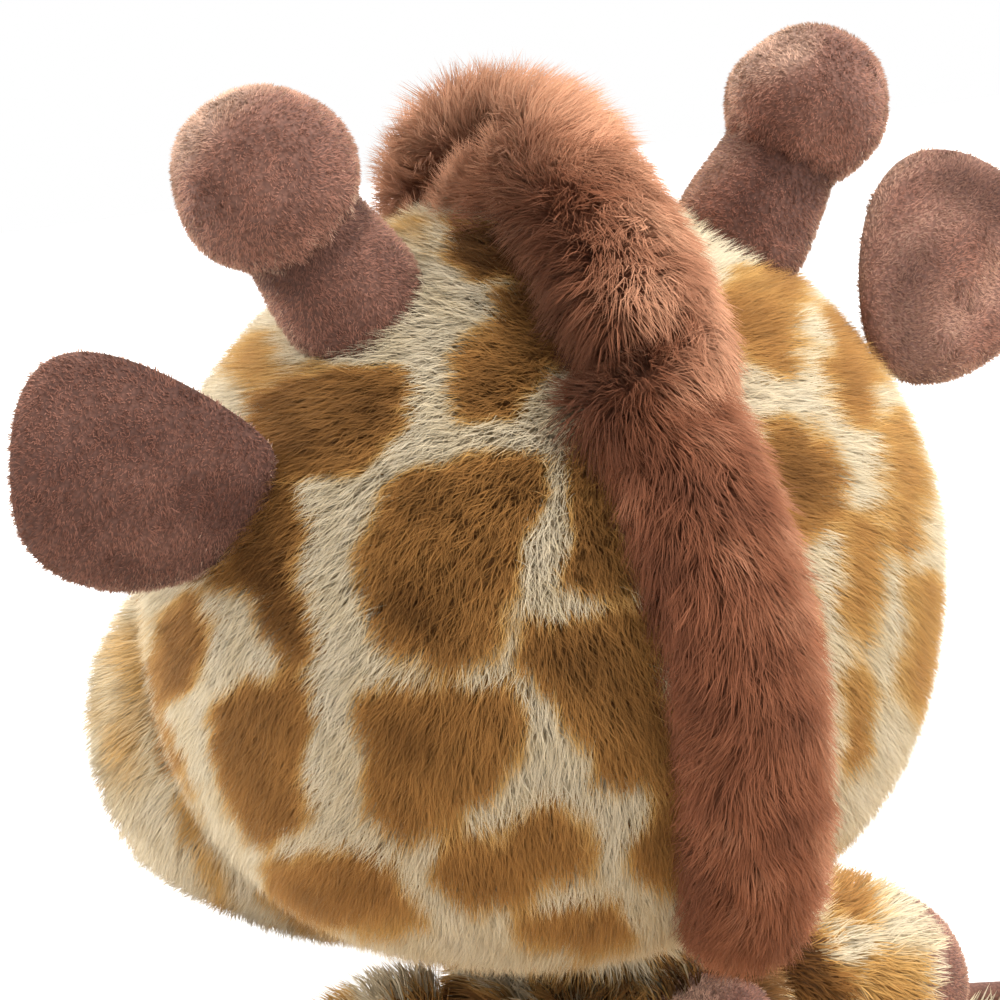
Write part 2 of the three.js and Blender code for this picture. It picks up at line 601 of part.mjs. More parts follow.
// Ossicones, ears and arms, one of each at each side
const earRoom = headForm(-EAR_SWING_ROOM);
for (const [name, side] of Object.entries(SIDES)) {
  const knobAt = new THREE.Matrix4().makeTranslation(0, 0, OSSICONE_LENGTH);
  const ossicone = ossiconeFrame(side);
  add(`${name}_ossicone_stem`, solid(ossiconeStem(), ossicone), brownVelour);
  add(`${name}_ossicone_knob`, ball(OSSICONE_KNOB_RADIUS, ossicone.clone().multiply(knobAt)), brownVelour);

  const ear = earFrame(name);
  const back = solid(geometryOf(earLayer(-VELOUR - GAP / 2, -GAP / 2, 0)), ear).subtract(earRoom);
  const front = solid(geometryOf(earLayer(GAP / 2, VELOUR + GAP / 2, EAR_BEAD_RADIUS + GAP)), ear);
  add(`${name}_ear_back`, back.add(solid(earBead(0), ear)), brownVelour);
  add(`${name}_ear_front`, front.subtract(earRoom), brownVelour);

  const arm = armFrame(side);
  const hoof = hoofForm();
  const hoofRoom = pastArm(ARM_LENGTH - HOOF_SEAM - GAP);
  const sleeve = limb(armCurve, armRadius(0), 0, 1, 11, 14).subtract(hoofRoom);
  const inside = limb(armCurve, armRadius(ARM_COVER), ARM_COVER / ARM_LENGTH, 1, 9, 10);
  const fill = limb(armCurve, armRadius(ARM_COVER + GAP), (ARM_COVER + GAP) / ARM_LENGTH, 1, 9, 10);
  add(`${name}_arm_sleeve`, solid(geometryOf(sleeve.subtract(inside)), arm), spottedPlush);
  add(`${name}_arm_stuffing`, solid(geometryOf(fill.subtract(hoofRoom)), arm), fibreFill);
  add(`${name}_hoof`, solid(geometryOf(hoof), arm), brownVelour);
}

// Neck cover in three panels, its filling, and the plug that carries the head
const shoulders = Object.values(SIDES).map((side) => dish(SHOULDER_RADIUS, armFrame(side)));
const neckCuts = [plugForm(GAP), ...shoulders];
const neckShell = cutAll(neckForm(0, 0).subtract(neckForm(PLUSH, PLUSH)), neckCuts);
const stripeBox = (grow) => {
  const half = STRIPE_WIDTH / 2 + grow;
  return box(STRIPE_MIDDLE - half, STRIPE_MIDDLE + half, NECK_Y, BIG, -BIG, BIG);
};
const stripeRoom = stripeBox(SEAM);
const stripe = stripeBox(0);
for (const [name, side] of Object.entries(SIDES)) {
  const [x0, x1] = side > 0 ? [SEAM / 2, BIG] : [-BIG, -SEAM / 2];
  const half = neckShell.intersect(box(x0, x1, -BIG, BIG, -BIG, BIG));
  add(`neck_${name}_panel`, half.subtract(stripeRoom), spottedPlush);
}
add("neck_back_stripe", neckShell.intersect(stripe), brownVelour);
add("neck_stuffing", cutAll(neckForm(PLUSH + GAP, PLUSH + GAP), neckCuts), fibreFill);
add("neck_plug", plugForm(0), fibreFill);

// Blanket layers and the piping round their edge
const hem = 2 * PIPING_RADIUS + GAP;
add("blanket_lining", blanketLayer(0, LINING_THICKNESS, hem), brownVelour);
add("blanket_top", blanketLayer(LINING_THICKNESS + GAP, BLANKET_TOP_Z, hem), spottedPlush);
add("blanket_piping", pipingForm(), brownVelour);

export default part;
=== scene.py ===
"""Giraffe comfort blanket: a stuffed plush head, neck and arms at the front edge of a small plush blanket."""
import json
import math

import bpy
import numpy as np
from mathutils import Matrix, Vector
from mathutils.kdtree import KDTree


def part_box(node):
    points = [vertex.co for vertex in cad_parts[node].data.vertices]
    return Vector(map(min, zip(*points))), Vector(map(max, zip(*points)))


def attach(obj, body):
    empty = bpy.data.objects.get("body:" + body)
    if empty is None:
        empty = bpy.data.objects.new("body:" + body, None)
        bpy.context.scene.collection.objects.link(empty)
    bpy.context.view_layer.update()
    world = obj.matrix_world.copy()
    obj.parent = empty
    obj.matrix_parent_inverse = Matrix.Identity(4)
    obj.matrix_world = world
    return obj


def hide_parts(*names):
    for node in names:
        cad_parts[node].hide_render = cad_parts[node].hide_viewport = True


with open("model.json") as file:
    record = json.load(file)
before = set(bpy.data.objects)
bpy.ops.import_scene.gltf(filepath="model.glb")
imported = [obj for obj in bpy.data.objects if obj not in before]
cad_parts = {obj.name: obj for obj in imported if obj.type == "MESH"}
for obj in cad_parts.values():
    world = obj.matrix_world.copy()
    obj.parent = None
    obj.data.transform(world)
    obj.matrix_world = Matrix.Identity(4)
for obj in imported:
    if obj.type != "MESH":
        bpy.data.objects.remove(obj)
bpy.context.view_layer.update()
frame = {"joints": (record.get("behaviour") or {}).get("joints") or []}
joint_at = {j["name"]: j for j in frame["joints"]}
SIDES = {"left": 1, "right": -1}
MM = 0.001  # metres

# Sizes in millimetres, as in the part's source
GAP = 0.35
BLANKET = 250.0
BLANKET_CORNER = 85.0
LINING_THICKNESS = 1.2
BLANKET_PLUSH = 2.2
BLANKET_TOP = LINING_THICKNESS + GAP + BLANKET_PLUSH
PIPING_RADIUS = 2.2
HEM = 2 * PIPING_RADIUS + GAP
NECK_Y = -96.0
NECK_PROFILE = [(24.5, 4.1), (26.5, 16.1), (24.0, 32.6), (21.8, 39.6), (18.5, 42.0), (12.8, 42.6)]
NECK_TOP = 42.6
# The velour stripe at the back of the neck, as angles from the giraffe's left
STRIPE_FROM, STRIPE_TO = math.pi / 2 - 0.36, math.pi / 2 + 0.86
HEAD_CENTRE = np.array([0.0, -110.0, 94.4])
HEAD_HALF = (51.5, 46.0)
CROWN_HEIGHT, JAW_HEIGHT = 48.0, 47.0
CROWN_ROUNDNESS, JAW_ROUNDNESS = 1.12, 0.72
MUZZLE_CENTRE = HEAD_CENTRE + (0, -45, -36)
MUZZLE_HALF = np.array([49.0, 38.0, 36.0])
PLUG_CENTRE = np.array([0.0, -102.0, 53.9])
PLUG_RADIUS = 17.0
GUSSET_RADIUS, GUSSET_HEIGHT = 13.5, 14
NECK_FOOT = 23  # radius that the neck covers on the blanket
# Mane lobes: from and to in degrees from the crown, half width, height, and the middle's stray sideways
MANE_LOBES = {
    "mane_nape": (40, 136, 8.8, 8.0, (2.8, -5.5)),
    "mane_crown": (6, 54, 10.2, 11.0, (0.0, 2.8)),
    "mane_forelock": (-34, 20, 10.0, 11.5, (2.5, 1.5)),
}
KNOB_RADII = {"left": 10.9, "right": 10.5}
EAR_LENGTH, EAR_WIDTH, EAR_CUP = 29.0, 27.0, 4.5
SHOULDER_RADIUS, ARM_MIDDLE_RADIUS = 12.5, 12.8
ARM_REACH, ARM_FORWARD, SHOULDER_SLOPE = 21.0, 5.0, math.radians(25)
HOOF_RADIUS, HOOF_LENGTH, HOOF_SEAM = 13.6, 17.0, 6.8

# How far each backing lies under its fabric's outer face, and how long the pile on it is
PLUSH_DEPTH, PLUSH_LENGTH = 3.2, 5.2
VELOUR_DEPTH, VELOUR_LENGTH = 0.8, 0.95
MANE_DEPTH = 3.4
# Pile of each plush form: strands to a square millimetre, their width, and their lean in radians
PLUSH_DENSITIES = {"head": 11.5, "muzzle": 6.5, "neck": 3.4, "gusset": 5.0, "arm": 3.4, "blanket": 1.25}
PLUSH_WIDTHS = {"head": 0.115, "muzzle": 0.15, "neck": 0.22, "gusset": 0.2, "arm": 0.22, "blanket": 0.42}
PLUSH_LEANS = {"head": 0.72, "muzzle": 0.6, "neck": 0.6, "gusset": 0.5, "arm": 0.6, "blanket": 0.8}
PLUSH_STRAY, PLUSH_SWIRL = 0.5, 0.35
# On the side away from the camera a share of the strands is kept, and they are wider
FAR_SHARES = {"head": 0.27, "muzzle": 0.42}
FAR_WIDTHS = {"head": 0.26, "muzzle": 0.24}
MANE_DENSITY, MANE_WIDTH = 11.0, 0.13
NAP_DENSITY, NAP_WIDTH, NAP_LEAN = 13.0, 0.22, 0.75
HOOF_NAP = 7.0  # strands to a square millimetre
NAP_ROWS = 0.85  # from one knitted row to the next
# First of the seeds for each velour piece
VELOUR_SEEDS = {
    "left_ossicone_stem_cover": 110, "right_ossicone_stem_cover": 130,
    "left_ossicone_knob_cover": 150, "right_ossicone_knob_cover": 170,
    "left_ear_cover": 190, "right_ear_cover": 210,
    "neck_stripe": 230, "left_hoof_cover": 250, "right_hoof_cover": 270,
}
MOST_STRANDS = 19500  # in one piece

# Camera, found by fitting the photograph. The frame and the focal length are in pixels
FRAME = 1000
CAMERA_TARGET = np.array([5.8, -110.3, 103.4])
CAMERA_AROUND, CAMERA_UP, CAMERA_ROLL = math.radians(156), math.radians(20), math.radians(-3)
CAMERA_DISTANCE = 260.0
FOCAL = 2080.0
SENSOR_WIDTH = 36  # millimetres


def link(made):
    bpy.context.scene.collection.objects.link(made)


# Small arithmetic on rows of points
UP = np.array([0.0, 0.0, 1.0])


def unit(v):
    return v / np.maximum(np.linalg.norm(v, axis=-1, keepdims=True), 1e-9)


def smooth(value, low, high):
    t = np.clip((value - low) / (high - low), 0, 1)
    return t * t * (3 - 2 * t)


def wander(points, size, seed):
    """Smooth unevenness between about -1 and 1, in swells about that many millimetres across."""
    draw = np.random.default_rng(seed)
    total = np.zeros(len(points))
    for _ in range(7):
        way = draw.normal(size=3)
        way *= 2 * math.pi / size * draw.uniform(0.6, 1.4) / np.linalg.norm(way)
        total += np.sin(points @ way + draw.uniform(0, 2 * math.pi))
    return total / 3.2


def swirl(points, size, seed):
    """A direction at each point that turns smoothly, in swells about that many millimetres across."""
    return np.stack([wander(points, size, seed + i) for i in range(3)], 1)


def along_surface(way, normals):
    return unit(way - normals * np.sum(way * normals, axis=1, keepdims=True))


def pivot_of(joint):
    """A joint's place in millimetres."""
    return np.array(joint_at[joint]["pos_m"]) * 1000


# Camera
camera_back = np.array([
    math.sin(CAMERA_AROUND) * math.cos(CAMERA_UP),
    -math.cos(CAMERA_AROUND) * math.cos(CAMERA_UP),
    math.sin(CAMERA_UP),
])
camera_place = CAMERA_TARGET + CAMERA_DISTANCE * camera_back
level_right = unit(np.cross(-camera_back, (0, 0, 1)))
level_up = np.cross(level_right, -camera_back)
camera_right = math.cos(CAMERA_ROLL) * level_right + math.sin(CAMERA_ROLL) * level_up
camera_up = -math.sin(CAMERA_ROLL) * level_right + math.cos(CAMERA_ROLL) * level_up


def make_camera():
    lens = bpy.data.cameras.new("photo_camera")
    lens.sensor_width = SENSOR_WIDTH
    lens.lens = SENSOR_WIDTH * FOCAL / FRAME
    lens.clip_start = 0.01
    camera = bpy.data.objects.new("photo_camera", lens)
    turned = Matrix([list(row) for row in np.stack([camera_right, camera_up, camera_back], axis=1)])
    camera.matrix_world = Matrix.Translation(Vector(camera_place * MM)) @ turned.to_4x4()
    link(camera)
    bpy.context.scene.camera = camera


def to_pixels(points):
    """Where each point lies in the photograph."""
    q = points - camera_place
    ahead = q @ -camera_back
    across, upward = FOCAL * (q @ camera_right) / ahead, FOCAL * (q @ camera_up) / ahead
    return np.stack([FRAME / 2 + across, FRAME / 2 - upward], 1)


def facing_camera(points, normals):
    """How squarely each point faces the camera, from -1 to 1."""
    return np.sum(normals * unit(camera_place - points), axis=1)


# Forms: a form is its points in millimetres, its quads and its triangles
NO_TRIANGLES = np.zeros((0, 3), int)


class Form:
    def __init__(self, points, quads, triangles):
        self.points = points
        self.quads = quads
        self.triangles = triangles
        self.split = np.concatenate([quads[:, [0, 1, 2]], quads[:, [0, 2, 3]], triangles])
        a, b, c = (points[self.split[:, i]] for i in range(3))
        if np.sum(np.cross(a, b) * c) < 0:
            self.quads = quads[:, ::-1]
            self.triangles = triangles[:, ::-1]
            self.split = self.split[:, ::-1]
        self.measure()

    def measure(self):
        a, b, c = (self.points[self.split[:, i]] for i in range(3))
        facing = np.cross(b - a, c - a)
        self.areas = np.linalg.norm(facing, axis=1) / 2
        normals = np.zeros_like(self.points)
        for i in range(3):
            np.add.at(normals, self.split[:, i], facing)
        self.normals = unit(normals)


def round_turn(count):
    """Angles spread evenly over a full turn."""
    return np.arange(count) * 2 * math.pi / count


def circles(first, second, count):
    """For each row of two directions at right angles, that many directions round them."""
    turn = round_turn(count)[None, :, None]
    return first[:, None] * np.cos(turn) + second[:, None] * np.sin(turn)


def loft(rings):
    """A closed form through rings of points, with each end drawn together to its middle."""
    count, around, _ = rings.shape
    points = np.concatenate([rings.reshape(-1, 3), rings[0].mean(0)[None], rings[-1].mean(0)[None]])
    first = np.arange(around)
    after = (first + 1) % around
    step = (np.arange(count - 1) * around)[:, None]
    corners = [step + first, step + after, step + around + after, step + around + first]
    quads = np.stack(corners, -1).reshape(-1, 4)
    start, end = len(points) - 2, len(points) - 1
    last = (count - 1) * around
    start_cap = np.stack([after, first, np.full(around, start)], 1)
    end_cap = np.stack([last + first, last + after, np.full(around, end)], 1)
    return Form(points, quads, np.concatenate([start_cap, end_cap]))


def slab(under, over):
    """A closed form between two grids of points of the same size."""
    rows, columns, _ = over.shape
    points = np.concatenate([over.reshape(-1, 3), under.reshape(-1, 3)])
    grid = np.arange(rows * columns).reshape(rows, columns)
    top = np.stack([grid[:-1, :-1], grid[1:, :-1], grid[1:, 1:], grid[:-1, 1:]], -1).reshape(-1, 4)
    rim = np.concatenate([grid[0, :-1], grid[:-1, -1], grid[-1, :0:-1], grid[:0:-1, 0]])
    on = np.roll(rim, -1)
    low = rows * columns
    side = np.stack([rim, on, on + low, rim + low], 1)
    return Form(points, np.concatenate([top, top[:, ::-1] + low, side]), NO_TRIANGLES)


def globe(place, around, down):
    """A closed form from its place at each longitude and latitude."""
    lat = -math.pi / 2 + (np.arange(down) + 1) * math.pi / (down + 1)
    return loft(place(*np.meshgrid(round_turn(around), lat)))


def tube(path, radii, side, around):
    """A closed form along a path of points. Side is a direction that the path never runs along."""
    ahead = unit(np.gradient(path, axis=0))
    second = unit(np.cross(ahead, np.broadcast_to(side, path.shape)))
    first = np.cross(second, ahead)
    return loft(path[:, None] + circles(first, second, around) * np.asarray(radii)[:, None, None])


def curve_through(stops, count):
    """Points on a smooth curve that passes through the stops."""
    stops = np.array(stops, float)
    padded = np.concatenate([[2 * stops[0] - stops[1]], stops, [2 * stops[-1] - stops[-2]]])
    share = np.linspace(0, len(stops) - 1, count)
    i = np.minimum(share.astype(int), len(stops) - 2)
    t = (share - i)[:, None]
    a, b, c, d = (padded[i + k] for k in range(4))
    return 0.5 * (2 * b + (c - a) * t + (2 * a - 5 * b + 4 * c - d) * t**2 + (3 * b - a - 3 * c + d) * t**3)


def scatter(form, per_mm2, seed, keep=None):
    """Roots spread evenly over a form by area, with the way each faces."""
    draw = np.random.default_rng(seed)
    total = form.areas.sum()
    picked = draw.choice(len(form.split), int(total * per_mm2), p=form.areas / total)
    picked.sort()
    u, v = draw.random((2, len(picked)))
    turned = u + v > 1
    u[turned], v[turned] = 1 - u[turned], 1 - v[turned]
    shares = np.stack([1 - u - v, u, v], 1)[..., None]
    corners = form.split[picked]
    roots = np.sum(form.points[corners] * shares, axis=1)
    normals = unit(np.sum(form.normals[corners] * shares, axis=1))
    if keep is not None:
        kept = keep(roots, normals, draw)
        roots, normals = roots[kept], normals[kept]
    return roots, normals


# The object's own surfaces
def head_place(lon, lat, inset=0.0):
    crown = lat >= 0
    roundness = np.where(crown, CROWN_ROUNDNESS, JAW_ROUNDNESS)
    height = np.where(crown, CROWN_HEIGHT, JAW_HEIGHT) - inset
    spread = np.maximum(np.cos(lat), 0) ** roundness
    return HEAD_CENTRE + np.stack([
        (HEAD_HALF[0] - inset) * spread * np.cos(lon),
        (HEAD_HALF[1] - inset) * spread * np.sin(lon),
        np.sign(lat) * height * np.abs(np.sin(lat)) ** roundness,
    ], -1)


def head_level(points, inset=0.0):
    """Below 1 inside the head, 1 on its surface and above 1 outside."""
    q = points - HEAD_CENTRE
    crown = q[..., 2] >= 0
    roundness = np.where(crown, CROWN_ROUNDNESS, JAW_ROUNDNESS)
    height = np.where(crown, CROWN_HEIGHT, JAW_HEIGHT) - inset
    wide = np.hypot(q[..., 0] / (HEAD_HALF[0] - inset), q[..., 1] / (HEAD_HALF[1] - inset))
    tall = np.abs(q[..., 2]) / height
    return (wide ** (2 / roundness) + tall ** (2 / roundness)) ** (roundness / 2)


def muzzle_place(lon, lat, inset=0.0):
    flat = np.stack([np.cos(lat) * np.cos(lon), np.cos(lat) * np.sin(lon), np.sin(lat)], -1)
    return MUZZLE_CENTRE + (MUZZLE_HALF - inset) * flat


def muzzle_level(points, inset=0.0):
    return np.linalg.norm((points - MUZZLE_CENTRE) / (MUZZLE_HALF - inset), axis=-1)


def blanket_edge(angle, inset):
    half = BLANKET / 2 - inset
    corner = BLANKET_CORNER - inset
    x, y = np.abs(np.cos(angle)), np.abs(np.sin(angle))
    straight = half / np.maximum(x, y)
    c = half - corner
    q = (x + y) * c
    rounded = q + np.sqrt(np.maximum(q * q - 2 * c * c + corner * corner, 0))
    return np.where((straight * x <= c) | (straight * y <= c), straight, rounded)


def blanket_ripple(x, y):
    grown = smooth(np.hypot(x, y), 62, 130)
    behind = smooth(y, NECK_Y + 53, BLANKET / 4)
    return 8 * grown * behind * (0.5 - 0.5 * np.cos(7 * np.arctan2(y, x) + math.pi / 2))


# Colours and nodes
def linear(code):
    parts = [int(code[i:i + 2], 16) / 255 for i in (1, 3, 5)]
    return [p / 12.92 if p <= 0.04045 else ((p + 0.055) / 1.055) ** 2.4 for p in parts] + [1.0]


def node(tree, kind, inputs=None, **settings):
    """Adds a node: settings are its own properties, and inputs are values or the sockets that feed it."""
    made = tree.nodes.new("ShaderNode" + kind)
    for name, value in settings.items():
        setattr(made, name, value)
    for name, value in (inputs or {}).items():
        if isinstance(value, bpy.types.NodeSocket):
            tree.links.new(value, made.inputs[name])
        else:
            made.inputs[name].default_value = value
    return made


def ramp(tree, value, colours):
    """A colour that runs through the given ones while the value runs from 0 to 1."""
    made = node(tree, "ValToRGB", {"Fac": value})
    elements = made.color_ramp.elements
    while len(elements) < len(colours):
        elements.new(0.5)
    for element, (place, code) in zip(elements, colours):
        element.position = place
        element.color = linear(code)
    return made.outputs["Color"]


def attribute(tree, name):
    return node(tree, "Attribute", attribute_name=name).outputs["Fac"]


def object_place(tree):
    return node(tree, "TexCoord").outputs["Object"]


def new_material(name):
    made = bpy.data.materials.new(name)
    made.use_nodes = True
    tree = made.node_tree
    tree.nodes.clear()
    return made, tree


def finish_material(tree, inputs):
    surface = node(tree, "BsdfPrincipled", inputs)
    node(tree, "OutputMaterial", {"Surface": surface.outputs["BSDF"]})


# Plush colours run from the cream ground, by a golden rim, to the brown of a patch
PLUSH_COLOURS = [(0.0, "#F3E2C3"), (0.14, "#EAD5AE"), (0.36, "#DBAA63"), (0.62, "#B98346"), (1.0, "#6A431D")]
MANE_COLOURS = [(0.0, "#5E3423"), (0.5, "#A46647"), (1.0, "#EBAC86")]
VELOUR_COLOURS = [(0.0, "#72493B"), (0.5, "#B07D6A"), (1.0, "#E2B89E")]
THREAD_COLOURS = [(0.0, "#0D0907"), (1.0, "#2A1D17")]
PAINT_COLOURS = [(0.0, "#F6F6F5"), (1.0, "#FBFBFA")]
# Painted light: a strand's tip catches more light, so it is painted lighter than its colour
TIP_SHADE = 1.08  # a strand's tip is lighter than its colour


def strand_material(name, colours, root_shade, roughness, sheen, glow):
    """Fine acrylic or polyester fibre: matt with a soft sheen, and darker at its root, in shade."""
    made, tree = new_material(name)
    tone, shade, along = (attribute(tree, name) for name in ("tone", "shade", "along"))
    colour = ramp(tree, tone, colours)
    depth = node(tree, "MapRange", {"Value": along, "To Min": root_shade, "To Max": TIP_SHADE})
    dim = node(tree, "Math", {0: depth.outputs["Result"], 1: shade}, operation="MULTIPLY")
    mixed = node(tree, "VectorMath", {0: colour, 1: dim.outputs["Value"]}, operation="MULTIPLY")
    finish_material(tree, {
        "Base Color": mixed.outputs["Vector"],
        "Roughness": roughness,
        "Specular IOR Level": 0.2,
        "Sheen Weight": sheen,
        "Sheen Roughness": 0.35,
        "Sheen Tint": linear(glow),
    })
    return made


def backing_material(name, colours, dimmed, pitch):
    """Knitted backing under the pile: tiny loops, in the pile's colours as they look in its shade."""
    made, tree = new_material(name)
    place = object_place(tree)
    colour = ramp(tree, attribute(tree, "tone"), colours)
    loops = node(tree, "TexVoronoi", {"Vector": place, "Scale": 1000 / pitch})
    level = node(tree, "MapRange", {
        "Value": loops.outputs["Distance"], "From Max": 0.7, "To Min": dimmed, "To Max": dimmed * 0.55})
    mixed = node(tree, "VectorMath", {0: colour, 1: level.outputs["Result"]}, operation="MULTIPLY")
    # Loops 0.3 mm deep
    bump = node(tree, "Bump", {
        "Height": loops.outputs["Distance"], "Strength": 0.4, "Distance": 0.3 * MM})
    finish_material(tree, {
        "Base Color": mixed.outputs["Vector"],
        "Roughness": 0.9,
        "Normal": bump.outputs["Normal"],
    })
    return made


def thread_material():
    """Polyester embroidery thread: twisted and slightly glossy, so each thread has a soft highlight, and
    painted lighter where each twist rises, a painted highlight.
    """
    made, tree = new_material("polyester_thread")
    place = object_place(tree)
    # Twist of 0.6 mm, drawn about twice as coarse as the real thread's so that it shows
    twist = node(tree, "TexWave", {"Vector": place, "Scale": 1000 / 0.6 / 6.28, "Distortion": 2.0})
    colour = ramp(tree, twist.outputs["Fac"], THREAD_COLOURS)
    bump = node(tree, "Bump", {
        "Height": twist.outputs["Fac"], "Strength": 0.5, "Distance": 0.2 * MM})
    finish_material(tree, {
        "Base Color": colour,
        "Roughness": 0.5,
        "Specular IOR Level": 0.25,
        "Normal": bump.outputs["Normal"],
    })
    return made


def floor_material():
    """Painted studio floor: matt, with a faint unevenness from the roller."""
    made, tree = new_material("matt_white_paint")
    # Roller marks of about 40 mm
    place = object_place(tree)
    cloud = node(tree, "TexNoise", {"Vector": place, "Scale": 1000 / 40, "Detail": 3.0})
    colour = ramp(tree, cloud.outputs["Fac"], PAINT_COLOURS)
    finish_material(tree, {"Base Color": colour, "Roughness": 0.8})
    return made


PLUSH_PILE = strand_material(
    "acrylic_plush_pile", PLUSH_COLOURS, root_shade=0.72, roughness=0.8, sheen=0.3, glow="#F2D6A6")
MANE_PILE = strand_material(
    "long_acrylic_pile", MANE_COLOURS, root_shade=0.67, roughness=0.7, sheen=0.35, glow="#E0A27C")
VELOUR_PILE = strand_material(
    "polyester_velour_nap", VELOUR_COLOURS, root_shade=0.78, roughness=0.8, sheen=1.0, glow="#EBC4A8")
# The pitch of the knitted loops is in millimetres, and finer in the velour
PLUSH_BACKING = backing_material("plush_knitted_backing", PLUSH_COLOURS, dimmed=0.95, pitch=0.9)
MANE_BACKING = backing_material("mane_knitted_backing", MANE_COLOURS, dimmed=0.85, pitch=0.9)
VELOUR_BACKING = backing_material("velour_knitted_backing", VELOUR_COLOURS, dimmed=0.7, pitch=0.5)
THREAD = thread_material()


# Patches of the plush
SQUARENESS = 2.7  # of a patch: 2 is an oval, and more is squarer
PATCH_GAP = 2.2


class Patch:
    """A rounded patch about a centre, with its half width and half height as directions at right angles."""

    def __init__(self, centre, across, upward, depth):
        self.centre = centre
        self.across = across / np.sum(across**2)
        self.upward = upward / np.sum(upward**2)
        self.facing = unit(np.cross(across, upward))
        self.reach = max(np.linalg.norm(across), np.linalg.norm(upward))
        self.thick = 0.5 * self.reach + 5
        self.depth = depth

    def inside(self, points):
        d = points - self.centre
        a, b, c = np.abs(d @ self.across), np.abs(d @ self.upward), np.abs(d @ self.facing) / self.thick
        return (1 - (a**SQUARENESS + b**SQUARENESS + c**6) ** (1 / SQUARENESS)) * self.reach


# Patches that the photograph shows: depth of colour, and the outline in pixels as it was read off
PHOTO_PATCHES = [
    (0.78, [(240, 392), (300, 368), (350, 362), (402, 372), (404, 410), (384, 452), (348, 478),
            (305, 485), (268, 480), (245, 440)]),
    (0.45, [(225, 345), (262, 325), (275, 360), (262, 392), (232, 388), (222, 370)]),
    (0.35, [(385, 215), (420, 210), (440, 235), (420, 255), (390, 240)]),
    # Not a patch: a dark band of painted shadow under the left side of the mane's crown
    (0.98, [(446, 218), (500, 222), (545, 240), (556, 285), (520, 284), (480, 274), (452, 262),
            (442, 240)]),
    (0.74, [(490, 288), (545, 275), (565, 330), (578, 362), (545, 377), (524, 398), (515, 425),
            (465, 425), (448, 400), (452, 360), (478, 318)]),
    (0.68, [(395, 470), (450, 458), (525, 452), (553, 470), (548, 510), (520, 560), (510, 610),
            (500, 655), (440, 684), (395, 668), (362, 625), (357, 575), (368, 520), (380, 490)]),
    (0.72, [(585, 440), (612, 470), (635, 540), (640, 600), (600, 605), (560, 600), (557, 575),
            (572, 530), (565, 480)]),
    # A real patch, whose top edge reaches higher as painted shade from the mane
    (0.74, [(525, 629), (580, 618), (650, 613), (672, 700), (678, 790), (640, 802), (595, 800),
            (575, 755), (550, 710), (520, 665)]),
    (0.64, [(350, 700), (400, 688), (470, 690), (520, 705), (523, 745), (505, 790), (470, 825),
            (405, 848), (372, 840), (355, 815), (362, 770), (347, 730)]),
    (0.78, [(215, 705), (245, 682), (290, 685), (308, 725), (300, 780), (310, 820), (290, 842),
            (255, 838), (222, 800), (207, 750)]),
    (0.92, [(235, 500), (285, 480), (305, 520), (295, 570), (308, 640), (290, 660), (255, 640),
            (245, 610), (215, 590), (222, 545)]),
    (0.64, [(262, 870), (300, 855), (350, 853), (400, 880), (430, 920), (420, 935), (370, 940),
            (310, 936), (272, 925), (260, 900)]),
    (0.64, [(430, 871), (470, 842), (530, 817), (580, 821), (595, 850), (585, 885), (540, 905),
            (490, 915), (445, 905), (425, 890)]),
    (0.62, [(520, 920), (560, 905), (610, 905), (640, 930), (635, 950), (590, 962), (530, 955),
            (508, 940)]),
    (0.66, [(650, 800), (685, 800), (690, 860), (680, 900), (645, 900), (625, 870), (630, 830)]),
    (0.62, [(720, 275), (760, 265), (810, 270), (808, 330), (800, 380), (775, 375), (745, 345),
            (725, 320)]),
    (0.64, [(825, 265), (845, 275), (870, 310), (885, 360), (875, 420), (855, 428), (835, 390),
            (825, 330)]),
    (0.76, [(775, 425), (800, 412), (830, 430), (850, 475), (840, 530), (815, 550), (785, 530),
            (768, 490), (765, 450)]),
    (0.58, [(885, 415), (905, 410), (925, 450), (932, 510), (925, 550), (905, 560), (890, 500)]),
    (0.58, [(850, 520), (875, 510), (890, 545), (888, 600), (882, 650), (860, 655), (842, 615),
            (840, 560)]),
    (0.48, [(905, 580), (940, 570), (960, 600), (955, 660), (935, 710), (910, 735), (900, 690),
            (903, 630)]),
    (0.55, [(840, 680), (865, 668), (885, 690), (882, 740), (862, 775), (845, 770), (845, 720)]),
    (0.50, [(805, 585), (820, 590), (825, 640), (815, 650), (808, 620)]),
    (0.80, [(150, 620), (190, 598), (204, 640), (190, 690), (166, 710), (148, 670)]),
    (0.42, [(172, 770), (195, 800), (215, 850), (232, 905), (215, 920), (190, 870), (170, 820)]),
    (0.75, [(136, 660), (152, 655), (160, 705), (184, 772), (196, 800), (180, 796), (160, 760),
            (144, 715)]),
    # The muzzle's golden patch: partly its real gold, and partly painted light, paler where light from behind
    # falls on it
    (0.26, [(90, 640), (110, 615), (145, 620), (154, 680), (152, 760), (146, 800), (120, 808), (95, 770),
            (82, 700)]),
    (0.45, [(255, 965), (290, 950), (335, 960), (340, 1010), (250, 1010)]),
    (0.80, [(388, 985), (440, 977), (495, 985), (500, 1030), (385, 1030)]),
    (0.80, [(530, 980), (590, 976), (640, 984), (642, 1030), (525, 1030)]),
    (0.62, [(835, 860), (860, 840), (885, 865), (890, 910), (866, 926), (838, 912)]),
    (0.92, [(664, 962), (690, 950), (765, 930), (815, 925), (846, 940), (852, 1030), (655, 1030)]),
    (0.45, [(870, 965), (900, 940), (935, 955), (942, 1000), (930, 1030), (868, 1030)]),
]
PIXEL = 0.12  # millimetres to a pixel at the head
OUTLINE_RIM = 60  # pixels round an outline that it may colour
OUTLINE_REACH = (560, 540)  # pixels from the photograph's middle
BEHIND_EAR = np.array([(110, 475), (95, 110)])  # middle and half size, in pixels, of what the left ear hides


